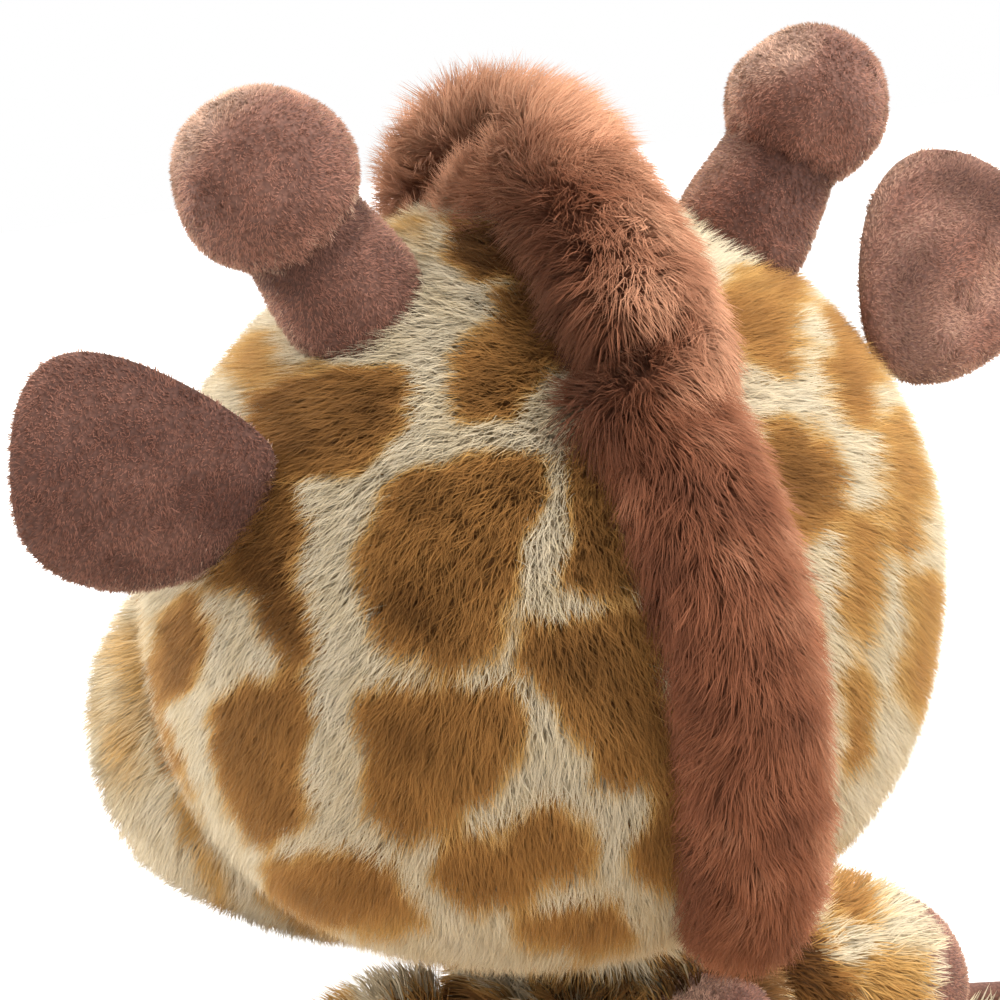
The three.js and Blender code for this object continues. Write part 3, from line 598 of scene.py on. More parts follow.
def from_line(pixels, line):
    """Distance of each pixel from a line through points."""
    start, step = line[:-1], np.diff(line, axis=0)
    off = pixels[:, None] - start
    share = np.clip(np.sum(off * step, -1) / np.maximum(np.sum(step * step, -1), 1e-9), 0, 1)
    return np.linalg.norm(off - share[..., None] * step, axis=-1).min(1)


def within(pixels, outline):
    """Distance in from a closed outline, below 0 outside it."""
    line = curve_through(outline + outline[:1], 5 * len(outline))
    a, b = line[:-1], line[1:]
    x, y = pixels[:, None, 0], pixels[:, None, 1]
    spans = (a[:, 1] > y) != (b[:, 1] > y)
    rise = np.where(b[:, 1] == a[:, 1], 1e-9, b[:, 1] - a[:, 1])
    crossed = spans & (x < a[:, 0] + (y - a[:, 1]) * (b[:, 0] - a[:, 0]) / rise)
    return np.where(crossed.sum(1) % 2 == 1, 1, -1) * from_line(pixels, line)


def photographed(points, normals):
    """Where each point lies in the photograph, and whether its patches are seen there."""
    pixels = to_pixels(points)
    hidden = np.all(np.abs(pixels - BEHIND_EAR[0]) < BEHIND_EAR[1], axis=1)
    in_reach = np.all(np.abs(pixels - FRAME / 2) < OUTLINE_REACH, axis=1)
    return pixels, (facing_camera(points, normals) > 0) & in_reach & ~hidden


def tones(points, normals, patches, seed):
    """Where each point's colour lies between the cream ground and the darkest brown."""
    best = np.full(len(points), -9.0)
    deep = np.zeros(len(points))

    def lay(rows, inside, depth):
        better = inside > best[rows]
        best[rows[better]] = inside[better]
        deep[rows[better]] = depth
    pixels, shown = photographed(points, normals)
    for depth, outline in PHOTO_PATCHES:
        low, high = np.min(outline, 0) - OUTLINE_RIM, np.max(outline, 0) + OUTLINE_RIM
        rows = np.nonzero(shown & np.all((pixels > low) & (pixels < high), axis=1))[0]
        lay(rows, within(pixels[rows], outline) * PIXEL, depth)
    rest = np.nonzero(~shown)[0]
    for patch in patches:
        lay(rest, patch.inside(points[rest]), patch.depth)
    # A frayed edge, a brown that is deepest in a patch's middle, and a ground that is a little uneven
    edge = best + 0.8 * wander(points, 10, seed) + 0.6 * wander(points, 4.5, seed + 1)
    filled = smooth(edge, -1.3, 1.7)
    brown = deep + 0.09 * wander(points, 13, seed + 2) + 0.14 * (np.clip(best / 5, 0, 1) - 0.4)
    ground = 0.06 + 0.05 * wander(points, 8, seed + 3)
    return np.clip(ground + filled * (brown - ground), 0, 1)


def more_patches(place, facing, seed, tries, sizes, free=None):
    """Patches spread over a form, clear of each other."""
    draw = np.random.default_rng(seed)
    made = []
    for _ in range(tries):
        centre = place(draw)
        if free and not free(centre):
            continue
        size = draw.uniform(*sizes)
        if any(np.linalg.norm(centre - p.centre) < size + p.reach + PATCH_GAP for p in made):
            continue
        normal = facing(centre)
        first = unit(np.cross(normal, unit(draw.normal(size=3))))
        second = np.cross(normal, first)
        wide = first * size * draw.uniform(0.85, 1.2)
        made.append(Patch(centre, wide, second * size, draw.uniform(0.6, 0.78)))
    return made


def form_patches(centre, level, seed, sizes):
    """Patches for the parts of a round form that the photograph doesn't show."""
    def place(draw):
        way = unit(draw.normal(size=3))
        return centre + way / level(centre + way)

    def facing(p):
        return unit(np.array([level(p + s) - level(p - s) for s in np.eye(3) * 0.05]))

    def unseen(p):
        return not photographed(p[None], facing(p)[None] + 0.12 * unit(camera_place - p))[1][0]
    return more_patches(place, facing, seed, tries=2500, sizes=sizes, free=unseen)


# Pieces
def into_scene(name, mesh, material, body):
    mesh.materials.append(material)
    made = bpy.data.objects.new(name, mesh)
    link(made)
    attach(made, body)
    return made


def piece(name, form, material, body, replaces=(), tone=None):
    mesh = bpy.data.meshes.new(name)
    faces = form.quads.tolist() + form.triangles.tolist()
    mesh.from_pydata((form.points * MM).tolist(), [], faces)
    if tone is not None:
        mesh.attributes.new("tone", "FLOAT", "POINT").data.foreach_set("value", tone.astype(np.float32))
    mesh.shade_smooth()
    made = into_scene(name, mesh, material, body)
    if replaces:
        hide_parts(*replaces)
    return made


def gathered(roots, each):
    """For each strand, the nearest of the strands that stand for a tuft."""
    heads = np.arange(0, len(roots), each)
    tree = KDTree(len(heads))
    for i, at in enumerate(heads):
        tree.insert(roots[at], i)
    tree.balance()
    return heads[[tree.find(r)[1] for r in roots]]


PALETTE_TONES, PALETTE_SHADES = 32, 16
DARKEST, SHADE_SPAN = 0.4, 0.85
ROOT_SINK = 0.25
# A long strand is a three-sided root, a bend and a tip. A short one has no bend.
LONG_STRAND = np.array([[0, 2, 1], [0, 1, 4], [0, 4, 3], [1, 2, 5], [1, 5, 4], [2, 0, 3], [2, 3, 5],
                        [3, 4, 6], [4, 5, 6], [5, 3, 6]])
SHORT_STRAND = np.array([[0, 2, 1], [0, 1, 3], [1, 2, 3], [2, 0, 3]])


def pile(name, roots, normals, flow, body, slot, material, length, width, lean, tone, seed,
         tuft=0.35, tuft_size=14, stray=0.25, shade=None, short=False, lowest=None):
    """Combed strands as fine closed meshes.

    Strands stray from the flow, and each tuft of them is drawn together. The tone may be a function of where
    the strands end. No strand goes below the lowest height.
    """
    draw = np.random.default_rng(seed)
    count = len(roots)
    length = np.broadcast_to(length, count) * draw.uniform(0.8, 1.15, count)
    swing = draw.normal(0, stray, count)[:, None]
    side = np.cross(normals, flow)
    flow = unit(flow * np.cos(swing) + side * np.sin(swing))
    lean = np.clip(np.broadcast_to(lean, count) + draw.normal(0, 0.14, count), 0.05, 1.5)[:, None]
    half = length[:, None] / 2
    base = roots - normals * ROOT_SINK
    bend = base + half * (normals * np.cos(0.6 * lean) + flow * np.sin(0.6 * lean))
    tip = bend + half * (normals * np.cos(1.25 * lean) + flow * np.sin(1.25 * lean))
    heads = gathered(roots, tuft_size)
    pull = tuft * draw.uniform(0.6, 1.2, count)[:, None]
    tip = tip + pull * (tip[heads] - tip)
    bend = bend + 0.4 * pull * (bend[heads] - bend)
    if lowest is not None:
        bend[:, 2] = np.maximum(bend[:, 2], lowest)
        tip[:, 2] = np.maximum(tip[:, 2], lowest)
    if callable(tone):
        tone = tone(0.4 * bend + 0.6 * tip, normals)
    tone = np.clip(tone + draw.normal(0, 0.03, count), 0, 0.999)
    if shade is None:
        shade = np.ones(count)
    shade = shade * draw.uniform(0.88, 1.08, count) * draw.uniform(0.92, 1.05, count)[heads]
    tone_step = np.floor(tone * PALETTE_TONES)
    shade_step = np.clip(np.floor((shade - DARKEST) / SHADE_SPAN * PALETTE_SHADES), 0, PALETTE_SHADES - 1)
    thick = np.broadcast_to(width, count) * draw.uniform(0.8, 1.2, count)
    # Lit as the soft mass that they make, with a little of each strand's own turn
    lit = unit(normals + 0.22 * draw.normal(size=normals.shape))
    made = []
    for number, start in enumerate(range(0, count, MOST_STRANDS)):
        part = slice(start, min(start + MOST_STRANDS, count))
        rows = [row[part] for row in (base, bend, tip, thick, tone_step, shade_step, lit)]
        made.append(into_scene(f"{name}_{number + 1}", strand_mesh(name, short, *rows), material, body))
    return made


def strand_mesh(name, short, base, bend, tip, thick, tone_step, shade_step, lit):
    count = len(base)
    first = unit(bend - base)
    across = unit(np.cross(first, unit(tip - bend) + 0.01 * first[:, [1, 2, 0]]))
    deep = np.cross(first, across)
    ring = circles(across, deep, 3) * thick[:, None, None] / 2
    rows = [base[:, None] + ring, tip[:, None]]
    along, spread, faces = [0, 0, 0, 1.0], [-0.3, 0, 0.3, 0], SHORT_STRAND
    if not short:
        rows.insert(1, bend[:, None] + 0.85 * ring)
        along, spread, faces = [0, 0, 0, 0.5, 0.5, 0.5, 1.0], [-0.3, 0, 0.3, -0.3, 0, 0.3, 0], LONG_STRAND
    points = np.concatenate(rows, axis=1)
    each = len(along)
    faces = (np.arange(count)[:, None, None] * each + faces).reshape(-1)
    mesh = bpy.data.meshes.new(name)
    mesh.vertices.add(count * each)
    mesh.vertices.foreach_set("co", (points * MM).astype(np.float32).ravel())
    mesh.loops.add(len(faces))
    mesh.loops.foreach_set("vertex_index", faces.astype(np.int32))
    mesh.polygons.add(len(faces) // 3)
    mesh.polygons.foreach_set("loop_start", np.arange(0, len(faces), 3, dtype=np.int32))
    mesh.update(calc_edges=True)
    along = np.tile(along, count)
    values = {
        "tone": np.repeat((tone_step + 0.5) / PALETTE_TONES, each),
        "shade": np.repeat((shade_step + 0.5) / PALETTE_SHADES * SHADE_SPAN + DARKEST, each),
        "along": along,
    }
    for key, row in values.items():
        mesh.attributes.new(key, "FLOAT", "POINT").data.foreach_set("value", row.astype(np.float32))
    # A strand lies in one cell of a palette by its tone and shade, from its root up to its tip
    spread = np.tile(spread, count)
    u = (np.repeat(tone_step, each) + 0.5 + spread) / PALETTE_TONES
    up_cell = 0.1 + 0.8 * along + 0.03 * (1 - along) * (spread + 0.3)
    v = (np.repeat(shade_step, each) + up_cell) / PALETTE_SHADES
    layer = mesh.uv_layers.new(name="OFBake")
    layer.data.foreach_set("uv", np.stack([u, v], 1)[faces].astype(np.float32).ravel())
    mesh.shade_smooth()
    mesh.normals_split_custom_set_from_vertices(np.repeat(lit, each, axis=0).tolist())
    return mesh


# Spotted plush
def plush_cover(name, skin, body, replaces, patches, seed):
    """The knitted backing of a plush form, in the colours of its patches."""
    tone = tones(skin.points, skin.normals, patches, seed)
    return piece(name, skin, PLUSH_BACKING, body, replaces, tone)


def plush_pile(name, form, body, roots, normals, way, patches, tone_seed, seed,
               length=1.0, width=None, **combed):
    """The pile of a plush form, combed along its way, in the colours of its patches."""
    width = PLUSH_WIDTHS[form] if width is None else width
    return pile(name, roots, normals, along_surface(way, normals), body, "spotted_plush", PLUSH_PILE,
                PLUSH_LENGTH * length, width, PLUSH_LEANS[form], lambda p, n: tones(p, n, patches, tone_seed),
                seed, stray=PLUSH_STRAY, **combed)


def toward_camera(roots, normals):
    return facing_camera(roots, normals) > -0.12


def thinned(form, roots, normals, draw):
    return draw.random(len(roots)) < np.where(toward_camera(roots, normals), 1.0, FAR_SHARES[form])


def near_and_far_widths(form, roots, normals):
    return np.where(toward_camera(roots, normals), PLUSH_WIDTHS[form], FAR_WIDTHS[form])


def out_of_head(roots, normals, draw):
    return head_level(roots, PLUSH_DEPTH) > 1.0


def seam_shade(level):
    """Painted shade: the pile is darker within about 3 mm of the seam with another form, about 40 mm from its
    middle.
    """
    return 1 - 0.5 * np.exp(-(((level - 1) * 40 / 3.0) ** 2))


# Head
def head_way(roots):
    """The plush is combed down and, near the crown, away from the middle seam, with soft swirls."""
    q = roots - HEAD_CENTRE
    aside = 0.012 * q[:, 0] + 1.6 * np.sign(q[:, 0]) * smooth(q[:, 2], 12, 42)
    way = np.stack([aside, np.full(len(q), 0.10), np.full(len(q), -1.0)], 1)
    return way + 0.33 * swirl(roots, 22, 31)


def make_head():
    patches = form_patches(HEAD_CENTRE, head_level, seed=21, sizes=(7.0, 9.5))
    skin = globe(lambda lon, lat: head_place(lon, lat, PLUSH_DEPTH), around=120, down=84)
    panels = ("head_left_panel", "head_right_panel", "head_stuffing")
    plush_cover("head_cover", skin, "head", panels, patches, seed=41)

    def keep(roots, normals, draw):
        off_muzzle = muzzle_level(roots, PLUSH_DEPTH) > 1.0
        off_plug = np.linalg.norm(roots - PLUG_CENTRE, axis=1) > PLUG_RADIUS
        return off_muzzle & off_plug & thinned("head", roots, normals, draw)
    roots, normals = scatter(skin, PLUSH_DENSITIES["head"], seed=51, keep=keep)
    plush_pile("head_pile", "head", "head", roots, normals, head_way(roots), patches, tone_seed=41, seed=61,
               width=near_and_far_widths("head", roots, normals), tuft=0.22,
               shade=seam_shade(muzzle_level(roots, PLUSH_DEPTH)))


def make_muzzle():
    patches = form_patches(MUZZLE_CENTRE, muzzle_level, seed=22, sizes=(6.5, 9.0))
    skin = globe(lambda lon, lat: muzzle_place(lon, lat, PLUSH_DEPTH - 0.8), around=90, down=60)
    stuffed = ("muzzle_cover", "muzzle_stuffing")
    plush_cover("muzzle_cover_backing", skin, "head", stuffed, patches, seed=42)
    roots, normals = scatter(skin, PLUSH_DENSITIES["muzzle"], seed=52, keep=lambda r, n, draw: (
        out_of_head(r, n, draw) & thinned("muzzle", r, n, draw)))
    # Brushed back and down, and longer on the left cheek
    way = np.stack([0.02 * roots[:, 0], np.full(len(roots), 0.35), np.full(len(roots), -0.75)], 1)
    way = way + PLUSH_SWIRL * swirl(roots, 20, 34)
    cheek = smooth(normals[:, 0], 0.5, 0.9)
    plush_pile("muzzle_pile", "muzzle", "head", roots, normals, way, patches, tone_seed=42, seed=62,
               length=1 + 0.3 * cheek, width=near_and_far_widths("muzzle", roots, normals),
               shade=seam_shade(head_level(roots, PLUSH_DEPTH)))


# Mane
def mane_line(start, end, stray, share):
    angle = np.radians(start + (end - start) * share)
    side = np.where(angle >= 0, math.pi / 2, -math.pi / 2)
    line = head_place(side, math.pi / 2 - np.abs(angle))
    line[:, 0] += stray[0] + (stray[1] - stray[0]) * share
    return line


def mane_core(start, end, half, height, stray):
    share = np.linspace(0.02, 0.98, 60)
    line = mane_line(start, end, stray, share)
    ahead = unit(np.gradient(line, axis=0))
    across = np.array([1.0, 0, 0])
    upward = unit(np.cross(across, ahead))
    full = (1 - np.abs(2 * share - 1) ** 6) ** 0.5
    turn = round_turn(48)
    wide = np.maximum(half * full - MANE_DEPTH * 0.75, 0.6)
    tall = np.maximum(height * full - MANE_DEPTH * 0.75, 0.6)
    rings = line[:, None] + across * (wide[:, None] * np.cos(turn))[..., None]
    rings = rings + upward[:, None] * (tall[:, None] * np.sin(turn))[..., None]
    return loft(rings)


# Folds of the mane that the photograph shows, as lines in pixels
MANE_FOLDS = [
    [(475, 175), (525, 245), (560, 305), (605, 362)],
    [(425, 195), (455, 160), (490, 138)],
    [(540, 352), (580, 372), (620, 362), (650, 338)],
]
FOLD_WIDTH, FOLD_DEPTH = 20.0, 5.0
# Pile of each lobe: its length, how far it leans, how it is combed, and its tone, which on the crown and
# forelock is partly painted light, paler where light falls on them
MANE_PILES = {
    "mane_nape": (6.0, 0.9, 1.0, 0.46),
    "mane_crown": (6.4, 1.0, 0.8, 0.72),
    "mane_forelock": (8.2, 0.7, 0.35, 0.98),
}
# On the left flank: how much painted shade deepens the colour, and how much longer and more upright the pile
FLANK_SHADES = {"mane_nape": 0.08, "mane_crown": 0.26, "mane_forelock": 0.05}
FLANK_PILES = {"mane_nape": (0.0, 0.0), "mane_crown": (0.25, 0.45), "mane_forelock": (-0.35, 0.0)}


def folded(points, normals, lines, width):
    """How deep each point lies in folds that the photograph shows, from 0 to 1."""
    pixels = to_pixels(points)
    near = np.min([from_line(pixels, np.array(line, float)) for line in lines], axis=0)
    return np.exp(-((near / width) ** 2)) * smooth(facing_camera(points, normals), 0, 0.3)


def make_mane():
    for number, (name, lobe) in enumerate(MANE_LOBES.items()):
        core = mane_core(*lobe)
        sunk = FOLD_DEPTH * folded(core.points, core.normals, MANE_FOLDS, FOLD_WIDTH)
        core.points = core.points - core.normals * sunk[:, None]
        core.measure()
        tone = np.clip(0.4 + 0.15 * wander(core.points, 9, 70 + number), 0, 1)
        piece(f"{name}_backing", core, MANE_BACKING, "head", (name,), tone)
        roots, normals = scatter(core, MANE_DENSITY, seed=80 + number,
                                 keep=lambda r, n, draw: head_level(r, PLUSH_DEPTH - 1) > 1.0)
        length, lean, combed, tone = MANE_PILES[name]
        # Combed back over the head and a little out to each side
        q = roots - HEAD_CENTRE
        around = unit(np.stack([0 * q[:, 0], q[:, 2], -q[:, 1]], 1))
        way = combed * around + 0.35 * swirl(roots, 11, 37) + 0.25 * normals * (1, 0, 0)
        # Painted shade down in the folds and on the left flank, and painted light on the right
        deep = folded(roots, normals, MANE_FOLDS, FOLD_WIDTH)
        left, right = smooth(normals[:, 0], 0.1, 0.9), smooth(-normals[:, 0], 0.3, 0.9)
        flank_shade = left * FLANK_SHADES[name]
        tone = tone + 0.16 * wander(roots, 7, 90 + number) - 0.3 * deep - flank_shade + 0.14 * right
        longer, upright = FLANK_PILES[name]
        length = length * (1 + longer * left) * (1 - 0.55 * deep)
        pile(f"{name}_pile", roots, normals, along_surface(way, normals), "head", "long_pile_fur", MANE_PILE,
             length, MANE_WIDTH, lean - upright * left, tone, seed=100 + number, tuft=0.45, tuft_size=18,
             stray=0.4, shade=1 - 0.5 * deep - 0.6 * flank_shade)


# Velour
# The way from which the painted light on the nap comes
NAP_LIGHT_WAY = unit(np.array([0.6, -0.45, 0.8]))


def painted_nap_light(normals):
    """Painted light: the nap is painted paler where it faces up and forward, toward the light."""
    return 0.65 * smooth(normals @ NAP_LIGHT_WAY, 0.2, 1.0)


def velour(name, skin, body, replaces, keep=None, flow=-UP, per_mm2=NAP_DENSITY, tone=0.5, shade=None):
    """A velour cover with its nap. Tone is its depth of colour, painted paler as painted light where the nap
    faces up and forward, and shade is painted shade that darkens parts of it.
    """
    seed = VELOUR_SEEDS[name]

    # Depth of colour, with painted light where the nap faces up and forward
    def depths(points, normals):
        return tone + painted_nap_light(normals) + 0.1 * wander(points, 9, seed)
    # The backing is painted a little deeper, as the shade under the nap, and takes the nap's painted shade
    # too
    under = depths(skin.points, skin.normals) - 0.1
    if shade:
        under = under - 0.7 * (1 - shade(skin.points, skin.normals))
    piece(name, skin, VELOUR_BACKING, body, replaces, np.clip(under, 0, 1))
    roots, normals = scatter(skin, per_mm2, seed + 1, keep)
    way = flow + 0.9 * swirl(roots, 6, seed + 2)
    # The nap stands in knitted rows, which part here and there in short dashes, darkened as painted shade
    # down in the parting
    row = roots @ unit(flow + (0.3, 0.2, 0.1)) + 0.3 * wander(roots, 4, seed + 6)
    dashes = smooth(wander(roots, 2.2, seed + 7), -0.4, 0.4)
    shaded = 1.04 - 0.45 * smooth(np.sin(2 * math.pi * row / NAP_ROWS), 0.1, 0.8) * dashes
    if shade:
        shaded = shaded * shade(roots, normals)
    pile(f"{name}_nap", roots, normals, along_surface(way, normals), body, "brown_velour", VELOUR_PILE,
         VELOUR_LENGTH, NAP_WIDTH, NAP_LEAN, depths(roots, normals), seed + 5, tuft=0.25, tuft_size=6,
         stray=0.8, shade=shaded, short=True)


# Ossicones
# Places along a stem from its foot's pivot, with its radius there
STEM_PROFILE = [
    (-8.6, 5.0), (-6.5, 7.6), (-3.5, 8.3), (0, 8.1), (3.4, 7.6), (6.0, 7.2), (8.5, 6.9), (10.5, 6.2),
]
# Depth of colour of each stem: both are one velour, and the right stem's deeper tone is painted shade
STEM_TONES = {"left": 0.34, "right": 0.2}
KNOB_TONE, KNOB_PLEATS = 0.4, 13


def make_ossicone(name):
    body = f"{name}_ossicone"
    pivot = pivot_of(f"{name}_ossicone_sway")
    low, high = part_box(f"{name}_ossicone_knob")
    knob = np.array((low + high) / 2) * 1000
    axis = unit(knob - pivot)
    side = unit(np.cross(axis, (0, 1, 0)))
    # The stem is a stuffed tube that widens to the head and runs up into the gathers of the knob
    profile = curve_through(STEM_PROFILE, 30)
    stem = tube(pivot + profile[:, :1] * axis, profile[:, 1], side, 48)

    # Painted shade on the stem where it runs up under the knob
    def under_knob(points, normals):
        away = np.linalg.norm(points - knob, axis=1) - KNOB_RADII[name]
        return 1 - 0.5 * np.exp(-((away / 1.6) ** 2))
    velour(f"{body}_stem_cover", stem, body, (f"{body}_stem",), keep=out_of_head, flow=-axis,
           tone=STEM_TONES[name], shade=under_knob)
    # The knob's velour is drawn together round the stem, in small pleats
    turn = np.linspace(-math.pi / 2, math.pi / 2, 40)[1:-1]
    radius = KNOB_RADII[name] - VELOUR_DEPTH
    ball = tube(knob + radius * np.sin(turn)[:, None] * axis, radius * np.cos(turn), side, 64)

    def down(points):
        return -((points - knob) @ axis) / radius
    q = ball.points - knob
    about = np.arctan2(q @ np.cross(axis, side), q @ side)
    drawn = smooth(down(ball.points), 0.45, 0.85)
    pleat = 0.45 * np.cos(KNOB_PLEATS * about + 0.8 * np.sin(3 * about)) * drawn
    swell = 0.25 * wander(ball.points, 12, 140 + SIDES[name])
    ball.points = ball.points + unit(q) * (pleat + swell)[:, None]
    ball.measure()
    # Painted shade darkens the lower knob, where it is drawn in round the stem
    velour(f"{body}_knob_cover", ball, body, (f"{body}_knob",), flow=-axis, tone=KNOB_TONE,
           keep=lambda r, n, draw: down(r) < 0.82,
           shade=lambda r, n: 1 - 0.45 * smooth(down(r), 0.45, 0.8))


# Ears
# How much narrower an ear is at its base, for its upper and lower half, and how much wider its upper half is
EAR_TAPERS = {"left": (0.48, -0.12), "right": (0.15, 0.2)}
EAR_SPREADS = {"left": 1.0, "right": 1.22}
EAR_FOLDS = {"left": 0.6, "right": 4.0}
# Depth of colour of each ear: both are one velour, and the left ear's deeper tone is painted shade, the right
# ear's paler one painted light
EAR_TONES = {"left": 0.18, "right": 0.6}
EAR_RINGS = 16
# Folds of the right ear that the photograph shows, as lines in pixels, along which the nap is painted in
# shade
EAR_CREASES = [[(912, 262), (905, 320), (925, 385)], [(955, 178), (1005, 205)]]
CREASE_WIDTH = 34.0


def make_ear(name):
    body = f"{name}_ear"
    seat = pivot_of(f"{name}_ear_flop")
    seam = np.array(joint_at[f"{name}_ear_flop"]["axis"], float)
    front = np.array([0, -1.0, 0])
    out = unit(np.cross(seam, front))
    out = out if out[0] * SIDES[name] > 0 else -out
    turn = round_turn(84)
    above = np.sin(turn) * seam[2] > 0
    taper = np.where(above, *EAR_TAPERS[name])
    spread = np.where(above, EAR_SPREADS[name], 1.0)
    # Rings from the middle of the back layer to the rim, and on to the middle of the front layer
    shares = np.linspace(0.06, 1, EAR_RINGS)
    rings = []
    for face, share in [(-1.0, s) for s in shares] + [(1.0, s) for s in shares[::-1]]:
        x = EAR_LENGTH / 2 * (1 + share * np.cos(turn))
        y = share * (EAR_WIDTH / 2) * spread * np.sin(turn) * (1 + taper * np.cos(turn))
        half = 1.5 * math.sqrt(max(0, 1 - share**7)) + 0.15
        z = face * half + EAR_CUP * (2 * y / EAR_WIDTH) ** 2 - EAR_CUP * 0.25
        # A fold that runs out from the seam, deeper in the right ear
        z = z + EAR_FOLDS[name] * smooth(x, 0, EAR_LENGTH) * np.exp(-(((y + 2.5) / 4.5) ** 2))
        rings.append(seat + x[:, None] * out + y[:, None] * seam + z[:, None] * front)
    # Painted shade darkens the nap along the ear's creases
    velour(f"{body}_cover", loft(np.array(rings)), body, (f"{body}_back", f"{body}_front"),
           keep=out_of_head, flow=out - 0.4 * UP, tone=EAR_TONES[name],
           shade=lambda r, n: 1 - 0.55 * folded(r, n, EAR_CREASES, CREASE_WIDTH))


# Neck
STRIPE_TONE, STRIPE_SEAM = 0.3, 0.03
# Pile on the neck's rounded top: how far from the middle line it begins, and where it ends over the stripe
TOP_PILE_FROM, TOP_PILE_TO = 9, 12.4


def neck_place(angle, height_share, inset):
    line = curve_through(NECK_PROFILE, 60)
    z = np.interp(height_share, np.linspace(0, 1, 60), line[:, 1])
    radius = np.interp(height_share, np.linspace(0, 1, 60), line[:, 0]) - inset
    return np.stack([radius * np.cos(angle), NECK_Y + radius * np.sin(angle), z + 0 * angle], -1)


def neck_rings(inset):
    rings = neck_place(*np.meshgrid(round_turn(96), np.linspace(0, 1, 30)), inset)
    closing = rings[-1].copy()
    closing[:, :2] = (closing[:, :2] - (0, NECK_Y)) * 0.75 + (0, NECK_Y)
    closing[:, 2] = NECK_TOP - inset * 0.4
    return loft(np.concatenate([rings, closing[None]]))


def from_neck(points):
    """Distance of each point from the neck's middle line."""
    return np.hypot(points[:, 0], points[:, 1] - NECK_Y)


def in_stripe(points):
    angle = np.arctan2(points[:, 1] - NECK_Y, points[:, 0])
    return (angle > STRIPE_FROM + STRIPE_SEAM) & (angle < STRIPE_TO - STRIPE_SEAM)


def neck_patches():
    def place(draw):
        angle, share = draw.uniform(0, 2 * math.pi), draw.random()
        return neck_place(np.array([angle]), np.array([share]), 0)[0]

    def facing(p):
        return unit(np.array([p[0], p[1] - NECK_Y, 0.01]))
    return more_patches(place, facing, seed=23, tries=600, sizes=(5.5, 8.0))


def make_neck():
    patches = neck_patches()
    skin = neck_rings(PLUSH_DEPTH)
    panels = ("neck_left_panel", "neck_right_panel", "neck_stuffing")
    plush_cover("neck_cover", skin, "blanket", panels, patches, seed=43)

    def keep(roots, normals, draw):
        out = from_neck(roots)
        clear = (~in_stripe(roots) | (out < TOP_PILE_TO)) & (out > TOP_PILE_FROM) & (normals[:, 2] > -0.9)
        for name in SIDES:
            shoulder = pivot_of(f"{name}_arm_lift")
            clear &= np.linalg.norm(roots - shoulder, axis=1) > SHOULDER_RADIUS - 1
        return clear
    roots, normals = scatter(skin, PLUSH_DENSITIES["neck"], seed=53, keep=keep)
    way = PLUSH_SWIRL * swirl(roots, 20, 44) - UP
    plush_pile("neck_pile", "neck", "blanket", roots, normals, way, patches, tone_seed=43, seed=63,
               lowest=BLANKET_TOP - 1)
    # The stripe at the back is velour, let in between the spotted panels
    grid = np.meshgrid(np.linspace(STRIPE_FROM, STRIPE_TO, 36), np.linspace(0.01, 0.99, 30))
    stripe = slab(neck_place(*grid, 3.0), neck_place(*grid, VELOUR_DEPTH))
    velour("neck_stripe", stripe, "blanket", ("neck_back_stripe",),
           keep=lambda r, n, draw: (n[:, 1] > 0.3) | (n[:, 2] > 0.3), tone=STRIPE_TONE)
    # A gusset of the same plush closes the neck under the head
    turn = np.linspace(-0.45 * math.pi, 0.45 * math.pi, 30)
    spine = PLUG_CENTRE + (GUSSET_HEIGHT * np.sin(turn) - 2)[:, None] * UP
    gusset = tube(spine, GUSSET_RADIUS * np.cos(turn) ** 0.5, (1, 0, 0), 48)
    # Painted shade under the head: the gusset's colour is never paler than a golden tone
    tone = np.maximum(tones(gusset.points, gusset.normals, patches, 43), 0.3)
    piece("neck_gusset", gusset, PLUSH_BACKING, "neck_plug", ("neck_plug",), tone)
    roots, normals = scatter(gusset, PLUSH_DENSITIES["gusset"], seed=291, keep=lambda r, n, draw: (
        out_of_head(r, n, draw) & (r[:, 2] > NECK_TOP - 2)))
    plush_pile("neck_gusset_pile", "gusset", "neck_plug", roots, normals, -UP, patches, tone_seed=43,
               seed=292, length=0.8)


# Arms
def arm_line(name):
    pivot = pivot_of(f"{name}_arm_lift")
    drop = pivot[2] - BLANKET_TOP - HOOF_RADIUS - GAP
    slope = np.array([math.cos(SHOULDER_SLOPE), 0, -math.sin(SHOULDER_SLOPE)])
    start = np.linspace(-SHOULDER_RADIUS, 0, 13)[:-1, None] * slope
    t = np.linspace(0, 1, 60)[:, None]
    knee = np.array([ARM_REACH * 0.85, -ARM_FORWARD * 0.6, -drop * 0.6])
    hand = np.array([ARM_REACH, -ARM_FORWARD, -drop])
    bezier = 3 * (1 - t) ** 2 * t * slope * SHOULDER_RADIUS + 3 * (1 - t) * t**2 * knee + t**3 * hand
    line = np.concatenate([start, bezier]) * (SIDES[name], 1, 1)
    return pivot + line


def arm_patches(path, seed):
    """Patches round the sleeve, from its middle line."""
    shares = np.linspace(0, 1, len(path))

    def middle(share):
        return np.array([np.interp(share, shares, path[:, i]) for i in range(3)])

    def place(draw):
        centre = middle(0.1 + 0.9 * draw.random())
        return centre + ARM_MIDDLE_RADIUS * unit(draw.normal(size=3))
    return more_patches(place, lambda p: unit(p - middle(0.55)), seed, tries=500, sizes=(4.8, 6.5))


